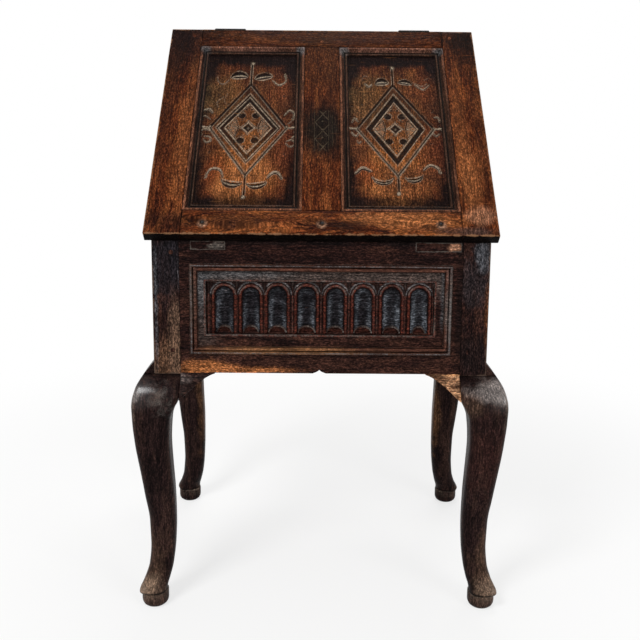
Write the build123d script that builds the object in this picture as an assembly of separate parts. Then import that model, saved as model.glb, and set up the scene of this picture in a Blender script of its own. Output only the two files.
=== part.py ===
from build123d import *
from math import cos, radians, sin, tan
import os

# Bible box on a cabriole stand. Millimetres; +Z is up, the front faces -Y, and the origin is on the floor
# below the middle of the four feet.

# Carcass
body_width = 596.0
body_depth = 436.0
post_size = 48.0
post_foot_height = 440.0         # floor to the foot of the corner posts, where the legs are jointed on
front_height = 241.3             # foot of the front posts to the lid seat, at the front face
apron_rise = 2.6                 # lower edge of front board and rails above the foot of the posts
rail_thickness = 26.0
rail_setback = 0.5               # faces of board and rails behind the faces of the posts
bottom_rail_height = 45.0
middle_rail_height = 44.0
slope_rail_width = 48.0
back_top_rail_height = 50.0
back_muntin_width = 60.0
tenon_length = 28.0
tenon_thickness = 10.0
tenon_setback = 8.0              # outer face of the post to the cheek of a tenon
tenon_shoulder = 6.0
tenon_clearance = 0.15
mortise_end_gap = 0.5

# Frame-and-panel work of sides, back and lid
panel_thickness = 10.0
panel_recess = 7.0               # face of the frame to the face of the panel
tongue_thickness = 6.0
groove_depth = 9.0
panel_play = 0.6                 # room left at the bottom of a groove
groove_clearance = 0.1

# Front board
notch_width = 23.0
notch_height = 5.6
notch_offset = -1.8
frame_side_margin = 18.0         # joint of board and post to the outer edge of the planted moulding
frame_height = 163.0
frame_rise = 37.6                # foot of the posts to the lower edge of the moulding
moulding_width = 13.5
moulding_proud = 4.5
field_sinking = 4.5              # face of the board to the plain margin inside the moulding
margin_width = 18.5
lower_margin_width = 21.4        # the plain margin under the arcade
arcade_sinking = 3.0             # plain margin to the ground of the arcade
arch_count = 8
flute_width = 34.0
flute_depth = 6.0
flute_head_gap = 9.0             # top of the arcade to the crown of the flutes
flute_foot_gap = 3.0
tongue_half_width = 15.0         # half-round tongue carved at the foot of each flute
tongue_height = 12.0
patch_depth = 5.0
left_patch_length = 60.0
left_patch_height = 15.0
left_patch_inset = 20.5          # joint of board and post to the end of the patch
right_patch_length = 80.0
right_patch_height = 16.0
right_patch_inset = 4.0

# Lid
lid_angle = 46.3
lid_side_overhang = 12.0
lid_thickness = 22.0
lid_nose_overhang = 16.2         # lower arris of the lid in front of the front board
lid_seat_gap = 0.3
lid_stile_width = 64.0
lid_muntin_width = 70.0
lid_bottom_rail_width = 52.0
lid_top_rail_width = 50.0
lid_panel_thickness = 8.0
lid_panel_recess = 9.0
lid_tongue_thickness = 5.0
lid_tenon_length = 40.0
lid_tenon_thickness = 7.0
lid_muntin_tenon_length = 30.0
lid_moulding_width = 17.0
ledge_nail_radius = 2.2
ledge_nail_depth = 12.0
ledge_nail_inset = 37.5          # stile to the outer nail holes
ledge_nail_height = 25.0
lozenge_half_width = 71.0
lozenge_half_height = 116.0
inner_lozenge_share = 0.77
lozenge_groove_width = 4.0
lozenge_groove_depth = 2.0

# Top board and bottom
top_board_thickness = 22.0
top_board_depth = 98.56
top_board_overhang = 8.0         # behind the back posts
floor_board_thickness = 12.0
floor_board_count = 3
floor_board_gap = 0.4
floor_board_play = 0.5
bearer_size = 18.0
bearer_top_rise = 40.0           # foot of the posts to the top of the bearers

# Hinges
hinge_length = 62.0
hinge_inset = 120.0              # end of the lid to the middle of a hinge
hinge_joint_gap = 1.0            # end of the lid to the edge of the top board
knuckle_radius = 2.2
knuckle_gap = 0.3
leaf_thickness = 1.6
leaf_height = 19.0
hinge_pin_radius = 1.0
hinge_pin_clearance = 0.05
hinge_pin_proud = 1.2
nail_radius = 1.2
nail_head_radius = 2.3
nail_head_thickness = 0.9
nail_length = 13.0
nail_clearance = 0.03
nail_spacing = 22.0

# Pegs
peg_radius = 4.0
peg_length = 30.0
peg_proud = 0.4
peg_inset = 14.0                 # shoulder line to the centre of a peg
peg_wall = 2.0                   # wood between a peg and the leg tenon below it
lid_peg_radius = 3.5
lid_peg_inset = 16.0

# Legs. A station is its drop below the foot of the posts or its height from the floor, then the reach of the
# inner faces in from the faces of the carcass, the reach out past the side and out past the front, and the
# corner radius.
knee_stations = [
    (0.0, 48.0, 18.5, 0.3, 1.5),
    (9.0, 48.0, 23.0, 10.0, 4.0),
    (19.0, 48.0, 28.0, 20.0, 7.0),
    (30.0, 48.0, 33.0, 29.0, 10.0),
    (42.0, 46.0, 36.0, 34.5, 13.0),
    (56.0, 38.5, 37.4, 37.0, 15.0),
    (78.0, 30.5, 37.0, 37.0, 17.0),
    (120.0, 28.0, 34.0, 34.0, 18.0),
    (170.0, 30.0, 28.2, 28.2, 18.5),
]
shin_stations = [
    (210.0, 33.2, 20.4, 20.4, 19.0),
    (160.0, 34.0, 14.2, 14.2, 19.5),
    (115.0, 32.4, 13.2, 13.2, 20.0),
    (76.0, 28.2, 16.4, 16.4, 20.5),
    (50.0, 22.8, 23.2, 23.2, 21.5),
    (37.0, 19.0, 29.0, 29.0, 22.5),
    (28.0, 17.6, 32.4, 32.4, 23.5),
]
toe_underside_height = 24.5
toe_underside_reach = 30.5
foot_radius = 24.5
foot_height = 27.0
foot_reach = 5.0                 # centre of the foot outside the corner of the carcass
foot_lower_round = 9.0
foot_upper_round = 3.0
leg_tenon_size = 20.0
leg_tenon_height = 24.0
leg_tenon_inset = 21.0           # outer faces of the post to the leg tenon

# Brackets
bracket_length = 61.0
bracket_drop = 39.5              # foot of the posts to the lowest point of a bracket
bracket_thickness = 24.0
bracket_setback = 2.0            # face of the bracket behind the face of the knee
bracket_tip_proud = 2.0
bracket_tip_drop = 1.2           # lower edge of the board to the tip of a bracket
ear_rise = 21.0                  # foot of the posts to the top of an ear
ear_tip_rise = 2.0               # lower edge of the rail to the top of an ear at its tip
ear_tip_drop = 1.5
ear_gap = 0.2

# Places worked out from the sizes above
side_x = body_width / 2
front_y = -body_depth / 2
back_y = body_depth / 2
inner_x = side_x - post_size
inner_front_y = front_y + post_size
inner_back_y = back_y - post_size
seat_front_z = post_foot_height + front_height
apron_z = post_foot_height + apron_rise
slope = radians(lid_angle)
nose_y = front_y - lid_nose_overhang
nose_z = seat_front_z - lid_nose_overhang * tan(slope) + (lid_seat_gap + lid_thickness) / cos(slope)
board_front_y = back_y + top_board_overhang - top_board_depth
lid_end_y = board_front_y - hinge_joint_gap
lid_length = (lid_end_y - nose_y) / cos(slope)
lid_width = body_width + 2 * lid_side_overhang
top_z = nose_z + lid_length * sin(slope)
hinge_y = lid_end_y + hinge_joint_gap / 2
board_under_z = top_z - top_board_thickness
far = 2000.0

pieces = {}


def block(x, y, z):
    """Box between the two values of each pair."""
    size = [abs(pair[1] - pair[0]) for pair in (x, y, z)]
    middle = [(pair[0] + pair[1]) / 2 for pair in (x, y, z)]
    return Pos(*middle) * Box(*size)


def outline(points):
    """Flat face inside a closed run of straight lines."""
    return make_face(Polyline(*points, close=True))


def slab(points, x):
    """Side-view outline of (y, z) points, between two values of x."""
    return extrude(Plane.YZ.offset(x[0]) * outline(points), amount=x[1] - x[0])


def rod(start, direction, radius, length):
    """Round rod from a point along a direction."""
    return Plane(origin=start, z_dir=direction).location * extrude(Circle(radius), amount=length)


def left(shape):
    """The same shape on the left-hand side."""
    return mirror(shape, about=Plane.YZ)


def behind(shape):
    """The same shape at the back."""
    return mirror(shape, about=Plane.XZ)


def solids(shape):
    """One solid, or a group of solids."""
    found = shape.solids()
    if len(found) == 1:
        return found[0]
    return Compound(children=list(found))


def grow(pair, amount):
    """A pair of values moved apart by an amount at each end."""
    return (min(pair) - amount, max(pair) + amount)


# Everything above the seat of the lid
above_seat = Pos(0, front_y, seat_front_z) * Rot(lid_angle, 0, 0) * Pos(0, 0, far / 2) * Box(far, far, far)

# Corner posts: the front pair is cut to the slope of the lid, the back pair stops under the top board
post_x = (inner_x, side_x)
front_post = block(post_x, (front_y, inner_front_y), (post_foot_height, top_z)) - above_seat
back_post = block(post_x, (inner_back_y, back_y), (post_foot_height, board_under_z))
pieces["post_front_right"] = front_post
pieces["post_front_left"] = left(front_post)
pieces["post_back_right"] = back_post
pieces["post_back_left"] = left(back_post)

# Depths of the work that is let in between the posts
front_face = (front_y + rail_setback, front_y + rail_setback + rail_thickness)
back_face = (back_y - rail_setback - rail_thickness, back_y - rail_setback)
side_face = (side_x - rail_setback - rail_thickness, side_x - rail_setback)
front_tenon = (front_y + tenon_setback, front_y + tenon_setback + tenon_thickness)
back_tenon = (back_y - tenon_setback - tenon_thickness, back_y - tenon_setback)
side_tenon = (side_x - tenon_setback - tenon_thickness, side_x - tenon_setback)


def mortise(names, x, y, z, axis):
    """Cut the mortise of a tenon: a little wider than the tenon, and longer along its axis."""
    spans = [grow(x, tenon_clearance), grow(y, tenon_clearance), grow(z, tenon_clearance)]
    spans[axis] = grow((x, y, z)[axis], mortise_end_gap)
    for name in names:
        pieces[name] = pieces[name] - block(*spans)


def cross_tenons(rail, y, z):
    """Tenons at both ends of a rail that runs from left to right."""
    tenon_x = (inner_x, inner_x + tenon_length)
    tenon = block(tenon_x, y, z)
    row = "front" if y[0] < 0 else "back"
    mortise(["post_%s_right" % row], tenon_x, y, z, 0)
    mortise(["post_%s_left" % row], (-tenon_x[1], -tenon_x[0]), y, z, 0)
    return rail + tenon + left(tenon)


def side_tenons(rail, z_front, z_back):
    """Tenons at both ends of a rail of the right-hand side, which runs from front to back."""
    for row, edge, step, z in (("front", inner_front_y, -1, z_front), ("back", inner_back_y, 1, z_back)):
        tip = edge + step * tenon_length
        rail = rail + block(side_tenon, (edge, tip), z)
        mortise(["post_%s_right" % row], side_tenon, (min(edge, tip), max(edge, tip)), z, 1)
        mortise(["post_%s_left" % row], (-side_tenon[1], -side_tenon[0]), (min(edge, tip), max(edge, tip)), z, 1)
    return rail


# Front board, with a small ogee notch in its lower edge
board_span = (-inner_x, inner_x)
front_board = block(board_span, front_face, (apron_z, top_z)) - above_seat
notch = [(-notch_width / 2, -1), (-notch_width / 2, 0), (-notch_width / 5, notch_height / 2),
         (0, notch_height), (notch_width / 5, notch_height / 2), (notch_width / 2, 0), (notch_width / 2, -1)]
front_plane = Plane(origin=(0, front_y + rail_setback, post_foot_height), x_dir=(1, 0, 0), z_dir=(0, -1, 0))


def front_cut(face, depth, start=0.0):
    """A face drawn on the front of the front board, sunk from one depth to a deeper one."""
    return front_plane.location * Pos(0, 0, -depth) * extrude(face, amount=depth - start)


front_board -= front_cut(Pos(notch_offset, apron_rise) * outline(notch), rail_thickness + 1, -1)

# Sunk field, arcade ground and flutes
frame_middle = frame_rise + frame_height / 2
frame_width = 2 * (inner_x - frame_side_margin)
field_floor = field_sinking + arcade_sinking
front_board -= front_cut(Pos(0, frame_middle) * Rectangle(frame_width, frame_height), field_sinking, -1)
arcade_width = frame_width - 2 * (moulding_width + margin_width)
arcade_height = frame_height - 2 * moulding_width - margin_width - lower_margin_width
arcade_base = frame_middle - frame_height / 2 + moulding_width + lower_margin_width
arcade_face = Pos(0, arcade_base) * Rectangle(arcade_width, arcade_height, align=(Align.CENTER, Align.MIN))
front_board -= front_cut(arcade_face, field_floor, field_sinking)
flute_top = arcade_base + arcade_height - flute_head_gap
flute_bottom = arcade_base + flute_foot_gap
spring_line = flute_top - flute_width / 2
flute_face = Rectangle(flute_width, spring_line - flute_bottom, align=(Align.CENTER, Align.MIN))
flute_face = Pos(0, flute_bottom) * flute_face + Pos(0, spring_line) * Circle(flute_width / 2)
flute_face -= Pos(0, flute_bottom) * Ellipse(tongue_half_width, tongue_height)
arch_pitch = arcade_width / arch_count
first_arch = -arch_pitch * (arch_count - 1) / 2
for number in range(arch_count):
    flute = Pos(first_arch + number * arch_pitch, 0) * flute_face
    front_board -= front_cut(flute, field_floor + flute_depth, field_floor)

# Let-in patches at the top of the front board
patch_top = front_height
patches = {
    "front_patch_left": (-1, left_patch_inset, left_patch_length, left_patch_height),
    "front_patch_right": (1, right_patch_inset, right_patch_length, right_patch_height),
}
for name, (step, inset, length, height) in patches.items():
    face = Pos(step * (inner_x - inset - length / 2), patch_top - height / 2) * Rectangle(length, height)
    let_in = front_cut(face, patch_depth)
    pieces[name] = let_in - above_seat
    front_board -= front_cut(face, patch_depth, -1)

front_tenon_z = (post_foot_height + leg_tenon_height + tenon_shoulder, seat_front_z - tenon_shoulder)
pieces["front_board"] = cross_tenons(front_board, front_tenon, front_tenon_z)


def moulding_strip(profile, length):
    """Bar of one profile along X, inner edge towards +Y, with both ends cut to a mitre."""
    width = max(point[0] for point in profile)
    bar = extrude(Plane.YZ.offset(-length / 2) * outline(profile), amount=length)
    plan = outline([(-length / 2, 0), (length / 2, 0), (length / 2 - width, width), (width - length / 2, width)])
    return bar & Pos(0, 0, -far / 2) * extrude(plan, amount=far)


def moulding_frame(profile, width, height):
    """Bottom, right, top and left strips of a mitred frame, around the middle of its opening."""
    strips = []
    for turn, length, reach in ((0, width, height), (90, height, width), (180, width, height), (270, height, width)):
        strips.append(Rot(0, 0, turn) * Pos(0, -reach / 2, 0) * moulding_strip(profile, length))
    return strips


# Planted moulding of the front: a round nose outside, a hollow and a small bead inside. Its profile is
# distance in from the outer edge and height above the floor of the sinking.
moulding_top = field_sinking + moulding_proud
front_profile = [(0, 0), (moulding_width, 0), (moulding_width, moulding_top * 0.3),
                 (moulding_width * 0.86, moulding_top * 0.38), (moulding_width * 0.74, moulding_top * 0.55),
                 (moulding_width * 0.58, moulding_top * 0.62), (moulding_width * 0.46, moulding_top * 0.85),
                 (moulding_width * 0.30, moulding_top), (moulding_width * 0.12, moulding_top),
                 (0, moulding_top * 0.82)]
frame_place = front_plane.location * Pos(0, frame_middle, -field_sinking)
names = ("front_moulding_bottom", "front_moulding_right", "front_moulding_top", "front_moulding_left")
for name, strip in zip(names, moulding_frame(front_profile, frame_width, frame_height)):
    pieces[name] = frame_place * strip

# Sides: bottom, middle and sloping rails
post_gap = (inner_front_y, inner_back_y)
bottom_rail_z = (apron_z, post_foot_height + apron_rise + bottom_rail_height)
slope_drop = slope_rail_width / cos(slope)
seat_at_post = seat_front_z + post_size * tan(slope)
middle_rail_top = seat_at_post - slope_drop
middle_rail_z = (middle_rail_top - middle_rail_height, middle_rail_top)
bottom_tenon_z = (bottom_rail_z[0] + tenon_shoulder, bottom_rail_z[1] - tenon_shoulder)
middle_tenon_z = (middle_rail_z[0] + tenon_shoulder, middle_rail_z[1] - tenon_shoulder)
pieces["side_bottom_rail_right"] = side_tenons(block(side_face, post_gap, bottom_rail_z), bottom_tenon_z,
                                               bottom_tenon_z)
pieces["side_middle_rail_right"] = side_tenons(block(side_face, post_gap, middle_rail_z), middle_tenon_z,
                                               middle_tenon_z)


def seat_z(y):
    """Height of the lid seat at a distance along the body."""
    return seat_front_z + (y - front_y) * tan(slope)


slope_outline = [(inner_front_y, seat_z(inner_front_y)), (board_front_y, seat_z(board_front_y)),
                 (board_front_y, board_under_z), (inner_back_y, board_under_z),
                 (inner_back_y, seat_z(inner_back_y) - slope_drop),
                 (inner_front_y, seat_z(inner_front_y) - slope_drop)]
slope_tenon_front = (middle_rail_top + tenon_shoulder, seat_z(inner_front_y - tenon_length) - tenon_shoulder)
slope_tenon_back = (seat_z(inner_back_y) - slope_drop + tenon_shoulder, board_under_z - tenon_shoulder)
pieces["side_slope_rail_right"] = side_tenons(slab(slope_outline, side_face), slope_tenon_front, slope_tenon_back)

# Back: two rails and a muntin
back_bottom_z = bottom_rail_z
back_top_z = (board_under_z - back_top_rail_height, board_under_z)
for name, z in (("back_bottom_rail", back_bottom_z), ("back_top_rail", back_top_z)):
    tenon_z = (z[0] + tenon_shoulder, z[1] - tenon_shoulder)
    pieces[name] = cross_tenons(block(board_span, back_face, z), back_tenon, tenon_z)
muntin_x = (-back_muntin_width / 2, back_muntin_width / 2)
muntin_tenon_x = (muntin_x[0] + tenon_shoulder, muntin_x[1] - tenon_shoulder)
back_muntin = block(muntin_x, back_face, (back_bottom_z[1], back_top_z[0]))
for name, edge, step in (("back_bottom_rail", back_bottom_z[1], -1), ("back_top_rail", back_top_z[0], 1)):
    reach = sorted((edge, edge + step * tenon_length))
    back_muntin += block(muntin_tenon_x, back_tenon, reach)
    mortise([name], muntin_tenon_x, back_tenon, reach, 2)
pieces["back_muntin"] = back_muntin


def panel_solids(face, recess, thickness, tongue, depth, play):
    """A panel with a tongue round it, and the groove that takes the tongue. Z is out of the face."""
    middle = -recess - thickness / 2
    body = Pos(0, 0, middle - thickness / 2) * extrude(offset(face, -play, kind=Kind.INTERSECTION), amount=thickness)
    rim = offset(face, depth - play, kind=Kind.INTERSECTION)
    panel = body + Pos(0, 0, middle - tongue / 2) * extrude(rim, amount=tongue)
    wide = offset(face, depth, kind=Kind.INTERSECTION)
    groove = Pos(0, 0, middle - tongue / 2 - groove_clearance) * extrude(wide, amount=tongue + 2 * groove_clearance)
    return panel, groove


def set_panel(name, plane, face, neighbours):
    """Put a panel of the carcass in the grooves of the members round it."""
    panel, groove = panel_solids(face, panel_recess, panel_thickness, tongue_thickness, groove_depth, panel_play)
    pieces[name] = plane.location * panel
    for neighbour in neighbours:
        pieces[neighbour] = pieces[neighbour] - plane.location * groove


side_plane = Plane(origin=(side_face[1], 0, 0), x_dir=(0, 1, 0), z_dir=(1, 0, 0))
lower_opening = [(inner_front_y, bottom_rail_z[1]), (inner_back_y, bottom_rail_z[1]),
                 (inner_back_y, middle_rail_z[0]), (inner_front_y, middle_rail_z[0])]
upper_opening = [(inner_front_y, middle_rail_top), (inner_back_y, middle_rail_top),
                 (inner_back_y, seat_z(inner_back_y) - slope_drop)]
right_posts = ["post_front_right", "post_back_right"]
set_panel("side_lower_panel_right", side_plane, outline(lower_opening),
          right_posts + ["side_bottom_rail_right", "side_middle_rail_right"])
set_panel("side_upper_panel_right", side_plane, outline(upper_opening),
          right_posts + ["side_middle_rail_right", "side_slope_rail_right"])
for name in ("side_bottom_rail", "side_middle_rail", "side_slope_rail", "side_lower_panel", "side_upper_panel"):
    pieces[name + "_left"] = left(pieces[name + "_right"])
left_groove_plane = Plane(origin=(-side_face[1], 0, 0), x_dir=(0, -1, 0), z_dir=(-1, 0, 0))
for opening in (lower_opening, upper_opening):
    groove = panel_solids(outline([(-y, z) for y, z in opening]), panel_recess, panel_thickness,
                          tongue_thickness, groove_depth, panel_play)[1]
    for name in ("post_front_left", "post_back_left"):
        pieces[name] = pieces[name] - left_groove_plane.location * groove

back_plane = Plane(origin=(0, back_face[1], 0), x_dir=(-1, 0, 0), z_dir=(0, 1, 0))
back_panel_width = inner_x - back_muntin_width / 2
back_panel_height = back_top_z[0] - back_bottom_z[1]
for side, place in (("left", 1), ("right", -1)):
    face = Pos(place * (inner_x + back_muntin_width / 2) / 2, back_bottom_z[1] + back_panel_height / 2)
    face = face * Rectangle(back_panel_width, back_panel_height)
    set_panel("back_panel_" + side, back_plane, face,
              ["post_back_" + side, "back_muntin", "back_bottom_rail", "back_top_rail"])

# Bearers and floor boards
bearer_z = post_foot_height + bearer_top_rise
bearer = block((side_face[0] - bearer_size, side_face[0]), post_gap, (bearer_z - bearer_size, bearer_z))
pieces["bearer_right"] = bearer
pieces["bearer_left"] = left(bearer)
floor_y = (front_face[1] + floor_board_play, back_face[0] - floor_board_play)
floor_x = (floor_board_play - side_face[0], side_face[0] - floor_board_play)
board_step = (floor_y[1] - floor_y[0] + floor_board_gap) / floor_board_count
corner_size = post_size + floor_board_play
corners = [block((step * (side_x - corner_size), step * side_x), (end * (back_y - corner_size), end * back_y),
                 (bearer_z - 1, bearer_z + floor_board_thickness + 1)) for step in (-1, 1) for end in (-1, 1)]
for number in range(floor_board_count):
    start = floor_y[0] + number * board_step
    board = block(floor_x, (start, start + board_step - floor_board_gap), (bearer_z, bearer_z + floor_board_thickness))
    for corner in corners:
        board -= corner
    pieces["floor_board_%d" % (number + 1)] = board

# Top board, behind the lid
half_lid = lid_width / 2
top_board_x = (-half_lid, half_lid)
pieces["top_board"] = block(top_board_x, (board_front_y, back_y + top_board_overhang), (board_under_z, top_z))

# Legs
corner_x = side_x
leg_sections = []
leg_stations = [(post_foot_height - station[0],) + station[1:] for station in knee_stations] + shin_stations
for height, inner, side, front, radius in leg_stations:
    middle = Pos(corner_x + (side - inner) / 2, front_y - (front - inner) / 2, height)
    leg_sections.append(middle * RectangleRounded(side + inner, front + inner, radius))
toe = leg_stations[-1]
toe_size = toe[1] + toe_underside_reach
toe_shift = (toe_underside_reach - toe[1]) / 2
toe_place = Pos(corner_x + toe_shift, front_y - toe_shift, toe_underside_height)
leg_sections.append(toe_place * RectangleRounded(toe_size, toe_size, toe_size * 0.46))
leg = loft(leg_sections)
leg -= block((inner_x - post_size, inner_x), (front_y - post_size, inner_front_y), (0, post_foot_height))
leg -= block((inner_x, side_x + post_size), (inner_front_y, inner_front_y + post_size), (0, post_foot_height))
foot = extrude(Circle(foot_radius), amount=foot_height)
foot = fillet(foot.edges().sort_by(Axis.Z)[0], foot_lower_round)
foot = fillet(foot.edges().sort_by(Axis.Z)[-1], foot_upper_round)
leg += Pos(corner_x + foot_reach, front_y - foot_reach, 0) * foot
stub_x = (side_x - leg_tenon_inset - leg_tenon_size, side_x - leg_tenon_inset)
stub_y = (front_y + leg_tenon_inset, front_y + leg_tenon_inset + leg_tenon_size)
stub_z = (post_foot_height, post_foot_height + leg_tenon_height)
leg += block(stub_x, stub_y, (stub_z[0] - 1, stub_z[1]))
pieces["leg_front_right"] = leg
pieces["leg_front_left"] = left(leg)
pieces["leg_back_right"] = behind(leg)
pieces["leg_back_left"] = behind(left(leg))
for row, y in (("front", stub_y), ("back", (-stub_y[1], -stub_y[0]))):
    mortise(["post_%s_right" % row], stub_x, y, stub_z, 2)
    mortise(["post_%s_left" % row], (-stub_x[1], -stub_x[0]), y, stub_z, 2)

# Brackets: the knee's profile seen from the end, an ogee seen from the face, and a taper seen from above
knee = [station for station in knee_stations if station[0] < bracket_drop * 1.25]
ogee_start = (bracket_length, apron_rise - bracket_tip_drop)
ogee_foot = (0, -bracket_drop)
ogee_points = [ogee_start, (bracket_length * 0.79, -bracket_drop * 0.09),
               (bracket_length * 0.25, -bracket_drop * 0.69), ogee_foot]
ogee_top = [(0, apron_rise), (bracket_length, apron_rise)]
ogee = make_face([Line(*ogee_top), Line(ogee_top[1], ogee_start), Spline(*ogee_points), Line(ogee_foot, ogee_top[0])])


def bracket_profile(reach_index):
    """End view of a bracket: (out, height) points of the knee, then straight down and up the back."""
    points = [(max(station[reach_index] - bracket_setback, bracket_tip_proud / 2), post_foot_height - station[0])
              for station in knee]
    points = [(points[0][0], apron_z)] + points
    return points + [(-bracket_thickness, points[-1][1]), (-bracket_thickness, apron_z)]


def bracket_plan(reach):
    """Plan of a bracket: (along, out) points, tapering from the knee to its tip."""
    return outline([(0, -bracket_thickness), (bracket_length, -bracket_thickness), (bracket_length, bracket_tip_proud),
                    (bracket_length * 0.5, reach * 0.30), (0, reach)])


def bracket(reach_index):
    """A bracket along +X from the leg, with its face towards -Y and its foot at the post foot height."""
    face_view = Pos(0, far / 2, post_foot_height) * Rot(90, 0, 0) * extrude(ogee, amount=far)
    end_view = extrude(Plane.YZ.offset(-1) * outline([(-out, z) for out, z in bracket_profile(reach_index)]), amount=far)
    reach = max(station[reach_index] for station in knee)
    plan_view = extrude(mirror(bracket_plan(reach), about=Plane.XZ), amount=far)
    return face_view & end_view & plan_view


front_bracket = Pos(-inner_x, front_y, 0) * bracket(3)
pieces["front_bracket_left"] = front_bracket
pieces["front_bracket_right"] = left(front_bracket)

# The brackets of the sides are lapped up the side of the carcass in an ear, above the shoulder of the leg
side_turn = Pos(side_x, inner_front_y, 0) * Rot(0, 0, 90)
ear_reach = knee_stations[0][2]
ear_height = post_foot_height + ear_rise
ear_profile = outline([(ear_gap, post_foot_height + ear_gap), (ear_reach, post_foot_height + ear_gap),
                       (ear_gap + 1.0, ear_height), (ear_gap, ear_height)])
ear_top = [(-post_size, post_foot_height), (-post_size, ear_height), (0, ear_height),
           (bracket_length, apron_z + ear_tip_rise), (bracket_length, apron_z - ear_tip_drop), (0, post_foot_height)]
ear = extrude(Plane.YZ.offset(-post_size) * mirror(ear_profile, about=Plane.YZ), amount=post_size + bracket_length)
ear_face = Pos(0, far / 2, 0) * Rot(90, 0, 0) * extrude(outline(ear_top), amount=far)
ear_plan = outline([(-post_size, 0), (-post_size, -ear_reach), (0, -ear_reach),
                    (bracket_length * 0.5, -ear_reach * 0.4), (bracket_length, -bracket_tip_proud),
                    (bracket_length, 0)])
ear = ear & ear_face & extrude(ear_plan, amount=far)
side_bracket = side_turn * (bracket(2) + ear)
pieces["side_bracket_front_right"] = side_bracket
pieces["side_bracket_front_left"] = left(side_bracket)
pieces["side_bracket_back_right"] = behind(side_bracket)
pieces["side_bracket_back_left"] = behind(left(side_bracket))

# Lid, drawn flat: X across, Y up the slope from the lower edge, Z out of the underside
lid_place = Pos(0, nose_y + lid_thickness * sin(slope), nose_z - lid_thickness * cos(slope)) * Rot(lid_angle, 0, 0)
behind_lid = block((-far, far), (lid_end_y, lid_end_y + far), (-far, far))
lid_run = lid_length + lid_thickness * 2
lid_z = (0, lid_thickness)
stile_inner = half_lid - lid_stile_width
rail_top = lid_length - lid_top_rail_width
lid_tenon_z = ((lid_thickness - lid_tenon_thickness) / 2, (lid_thickness + lid_tenon_thickness) / 2)
lid_pieces = {
    "lid_stile_right": block((stile_inner, half_lid), (0, lid_run), lid_z),
    "lid_stile_left": block((-half_lid, -stile_inner), (0, lid_run), lid_z),
    "lid_bottom_rail": block((-stile_inner, stile_inner), (0, lid_bottom_rail_width), lid_z),
    "lid_top_rail": block((-stile_inner, stile_inner), (rail_top, lid_run), lid_z),
    "lid_muntin": block((-lid_muntin_width / 2, lid_muntin_width / 2), (lid_bottom_rail_width, rail_top), lid_z),
}


def lid_joint(name, host, x, y, axis):
    """Tenon on one member of the lid and its mortise in another. X and Y are the sides of the tenon."""
    lid_pieces[name] = lid_pieces[name] + block(x, y, lid_tenon_z)
    spans = [grow(x, tenon_clearance), grow(y, tenon_clearance)]
    spans[axis] = grow((x, y)[axis], mortise_end_gap)
    lid_pieces[host] = lid_pieces[host] - block(spans[0], spans[1], grow(lid_tenon_z, tenon_clearance))


bottom_tenon_y = (tenon_shoulder, lid_bottom_rail_width - tenon_shoulder - groove_depth)
top_tenon_y = (rail_top + tenon_shoulder + groove_depth, lid_length - tenon_shoulder)
for side, step in (("right", 1), ("left", -1)):
    reach = sorted((step * stile_inner, step * (stile_inner + lid_tenon_length)))
    lid_joint("lid_bottom_rail", "lid_stile_" + side, reach, bottom_tenon_y, 0)
    lid_joint("lid_top_rail", "lid_stile_" + side, reach, top_tenon_y, 0)
half_muntin_tenon = lid_muntin_width / 2 - tenon_shoulder - groove_depth
muntin_reach = (-half_muntin_tenon, half_muntin_tenon)
lower_reach = (lid_bottom_rail_width - lid_muntin_tenon_length, lid_bottom_rail_width)
lid_joint("lid_muntin", "lid_bottom_rail", muntin_reach, lower_reach, 1)
lid_joint("lid_muntin", "lid_top_rail", muntin_reach, (rail_top, rail_top + lid_muntin_tenon_length), 1)

# Lid panels with their lozenges, and the mitred moulding round them. The profile is distance in from the
# edge of the opening and height above the panel.
opening_width = stile_inner - lid_muntin_width / 2
opening_height = rail_top - lid_bottom_rail_width
opening_x = (stile_inner + lid_muntin_width / 2) / 2
opening_y = lid_bottom_rail_width + opening_height / 2
lid_profile = [(0, 0), (lid_moulding_width, 0), (lid_moulding_width, lid_panel_recess * 0.22),
               (lid_moulding_width * 0.82, lid_panel_recess * 0.30),
               (lid_moulding_width * 0.66, lid_panel_recess * 0.55),
               (lid_moulding_width * 0.45, lid_panel_recess * 0.68),
               (lid_moulding_width * 0.30, lid_panel_recess * 0.92), (lid_moulding_width * 0.12, lid_panel_recess),
               (0, lid_panel_recess * 0.94)]


def lozenge_groove(share):
    """Rhombus-shaped ring, a share of the full lozenge."""
    def rhombus(width, height):
        return outline([(width, 0), (0, height), (-width, 0), (0, -height)])
    width = lozenge_half_width * share
    height = lozenge_half_height * share
    stretch = lozenge_groove_width * height / width
    return rhombus(width, height) - rhombus(width - lozenge_groove_width, height - stretch)


for side, step in (("left", -1), ("right", 1)):
    face = Rectangle(opening_width, opening_height)
    panel, groove = panel_solids(face, lid_panel_recess, lid_panel_thickness, lid_tongue_thickness, groove_depth,
                                 panel_play)
    for share in (1.0, inner_lozenge_share):
        cut = extrude(lozenge_groove(share), amount=lozenge_groove_depth + 1)
        panel -= Pos(0, 0, -lid_panel_recess - lozenge_groove_depth) * cut
    place = Pos(step * opening_x, opening_y, lid_thickness)
    lid_pieces["lid_panel_" + side] = place * panel
    for name in ("lid_stile_" + side, "lid_bottom_rail", "lid_top_rail", "lid_muntin"):
        lid_pieces[name] = lid_pieces[name] - place * groove
    strips = [place * Pos(0, 0, -lid_panel_recess) * strip
              for strip in moulding_frame(lid_profile, opening_width, opening_height)]
    lid_pieces["lid_moulding_" + side] = Compound(children=[solids(strip) for strip in strips])

# Nail holes of a lost book ledge, in the lower rail
for place in (ledge_nail_inset - stile_inner, 0, stile_inner - ledge_nail_inset):
    hole = rod((place, ledge_nail_height, lid_thickness - ledge_nail_depth), (0, 0, 1), ledge_nail_radius, far)
    lid_pieces["lid_bottom_rail"] = lid_pieces["lid_bottom_rail"] - hole

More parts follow.
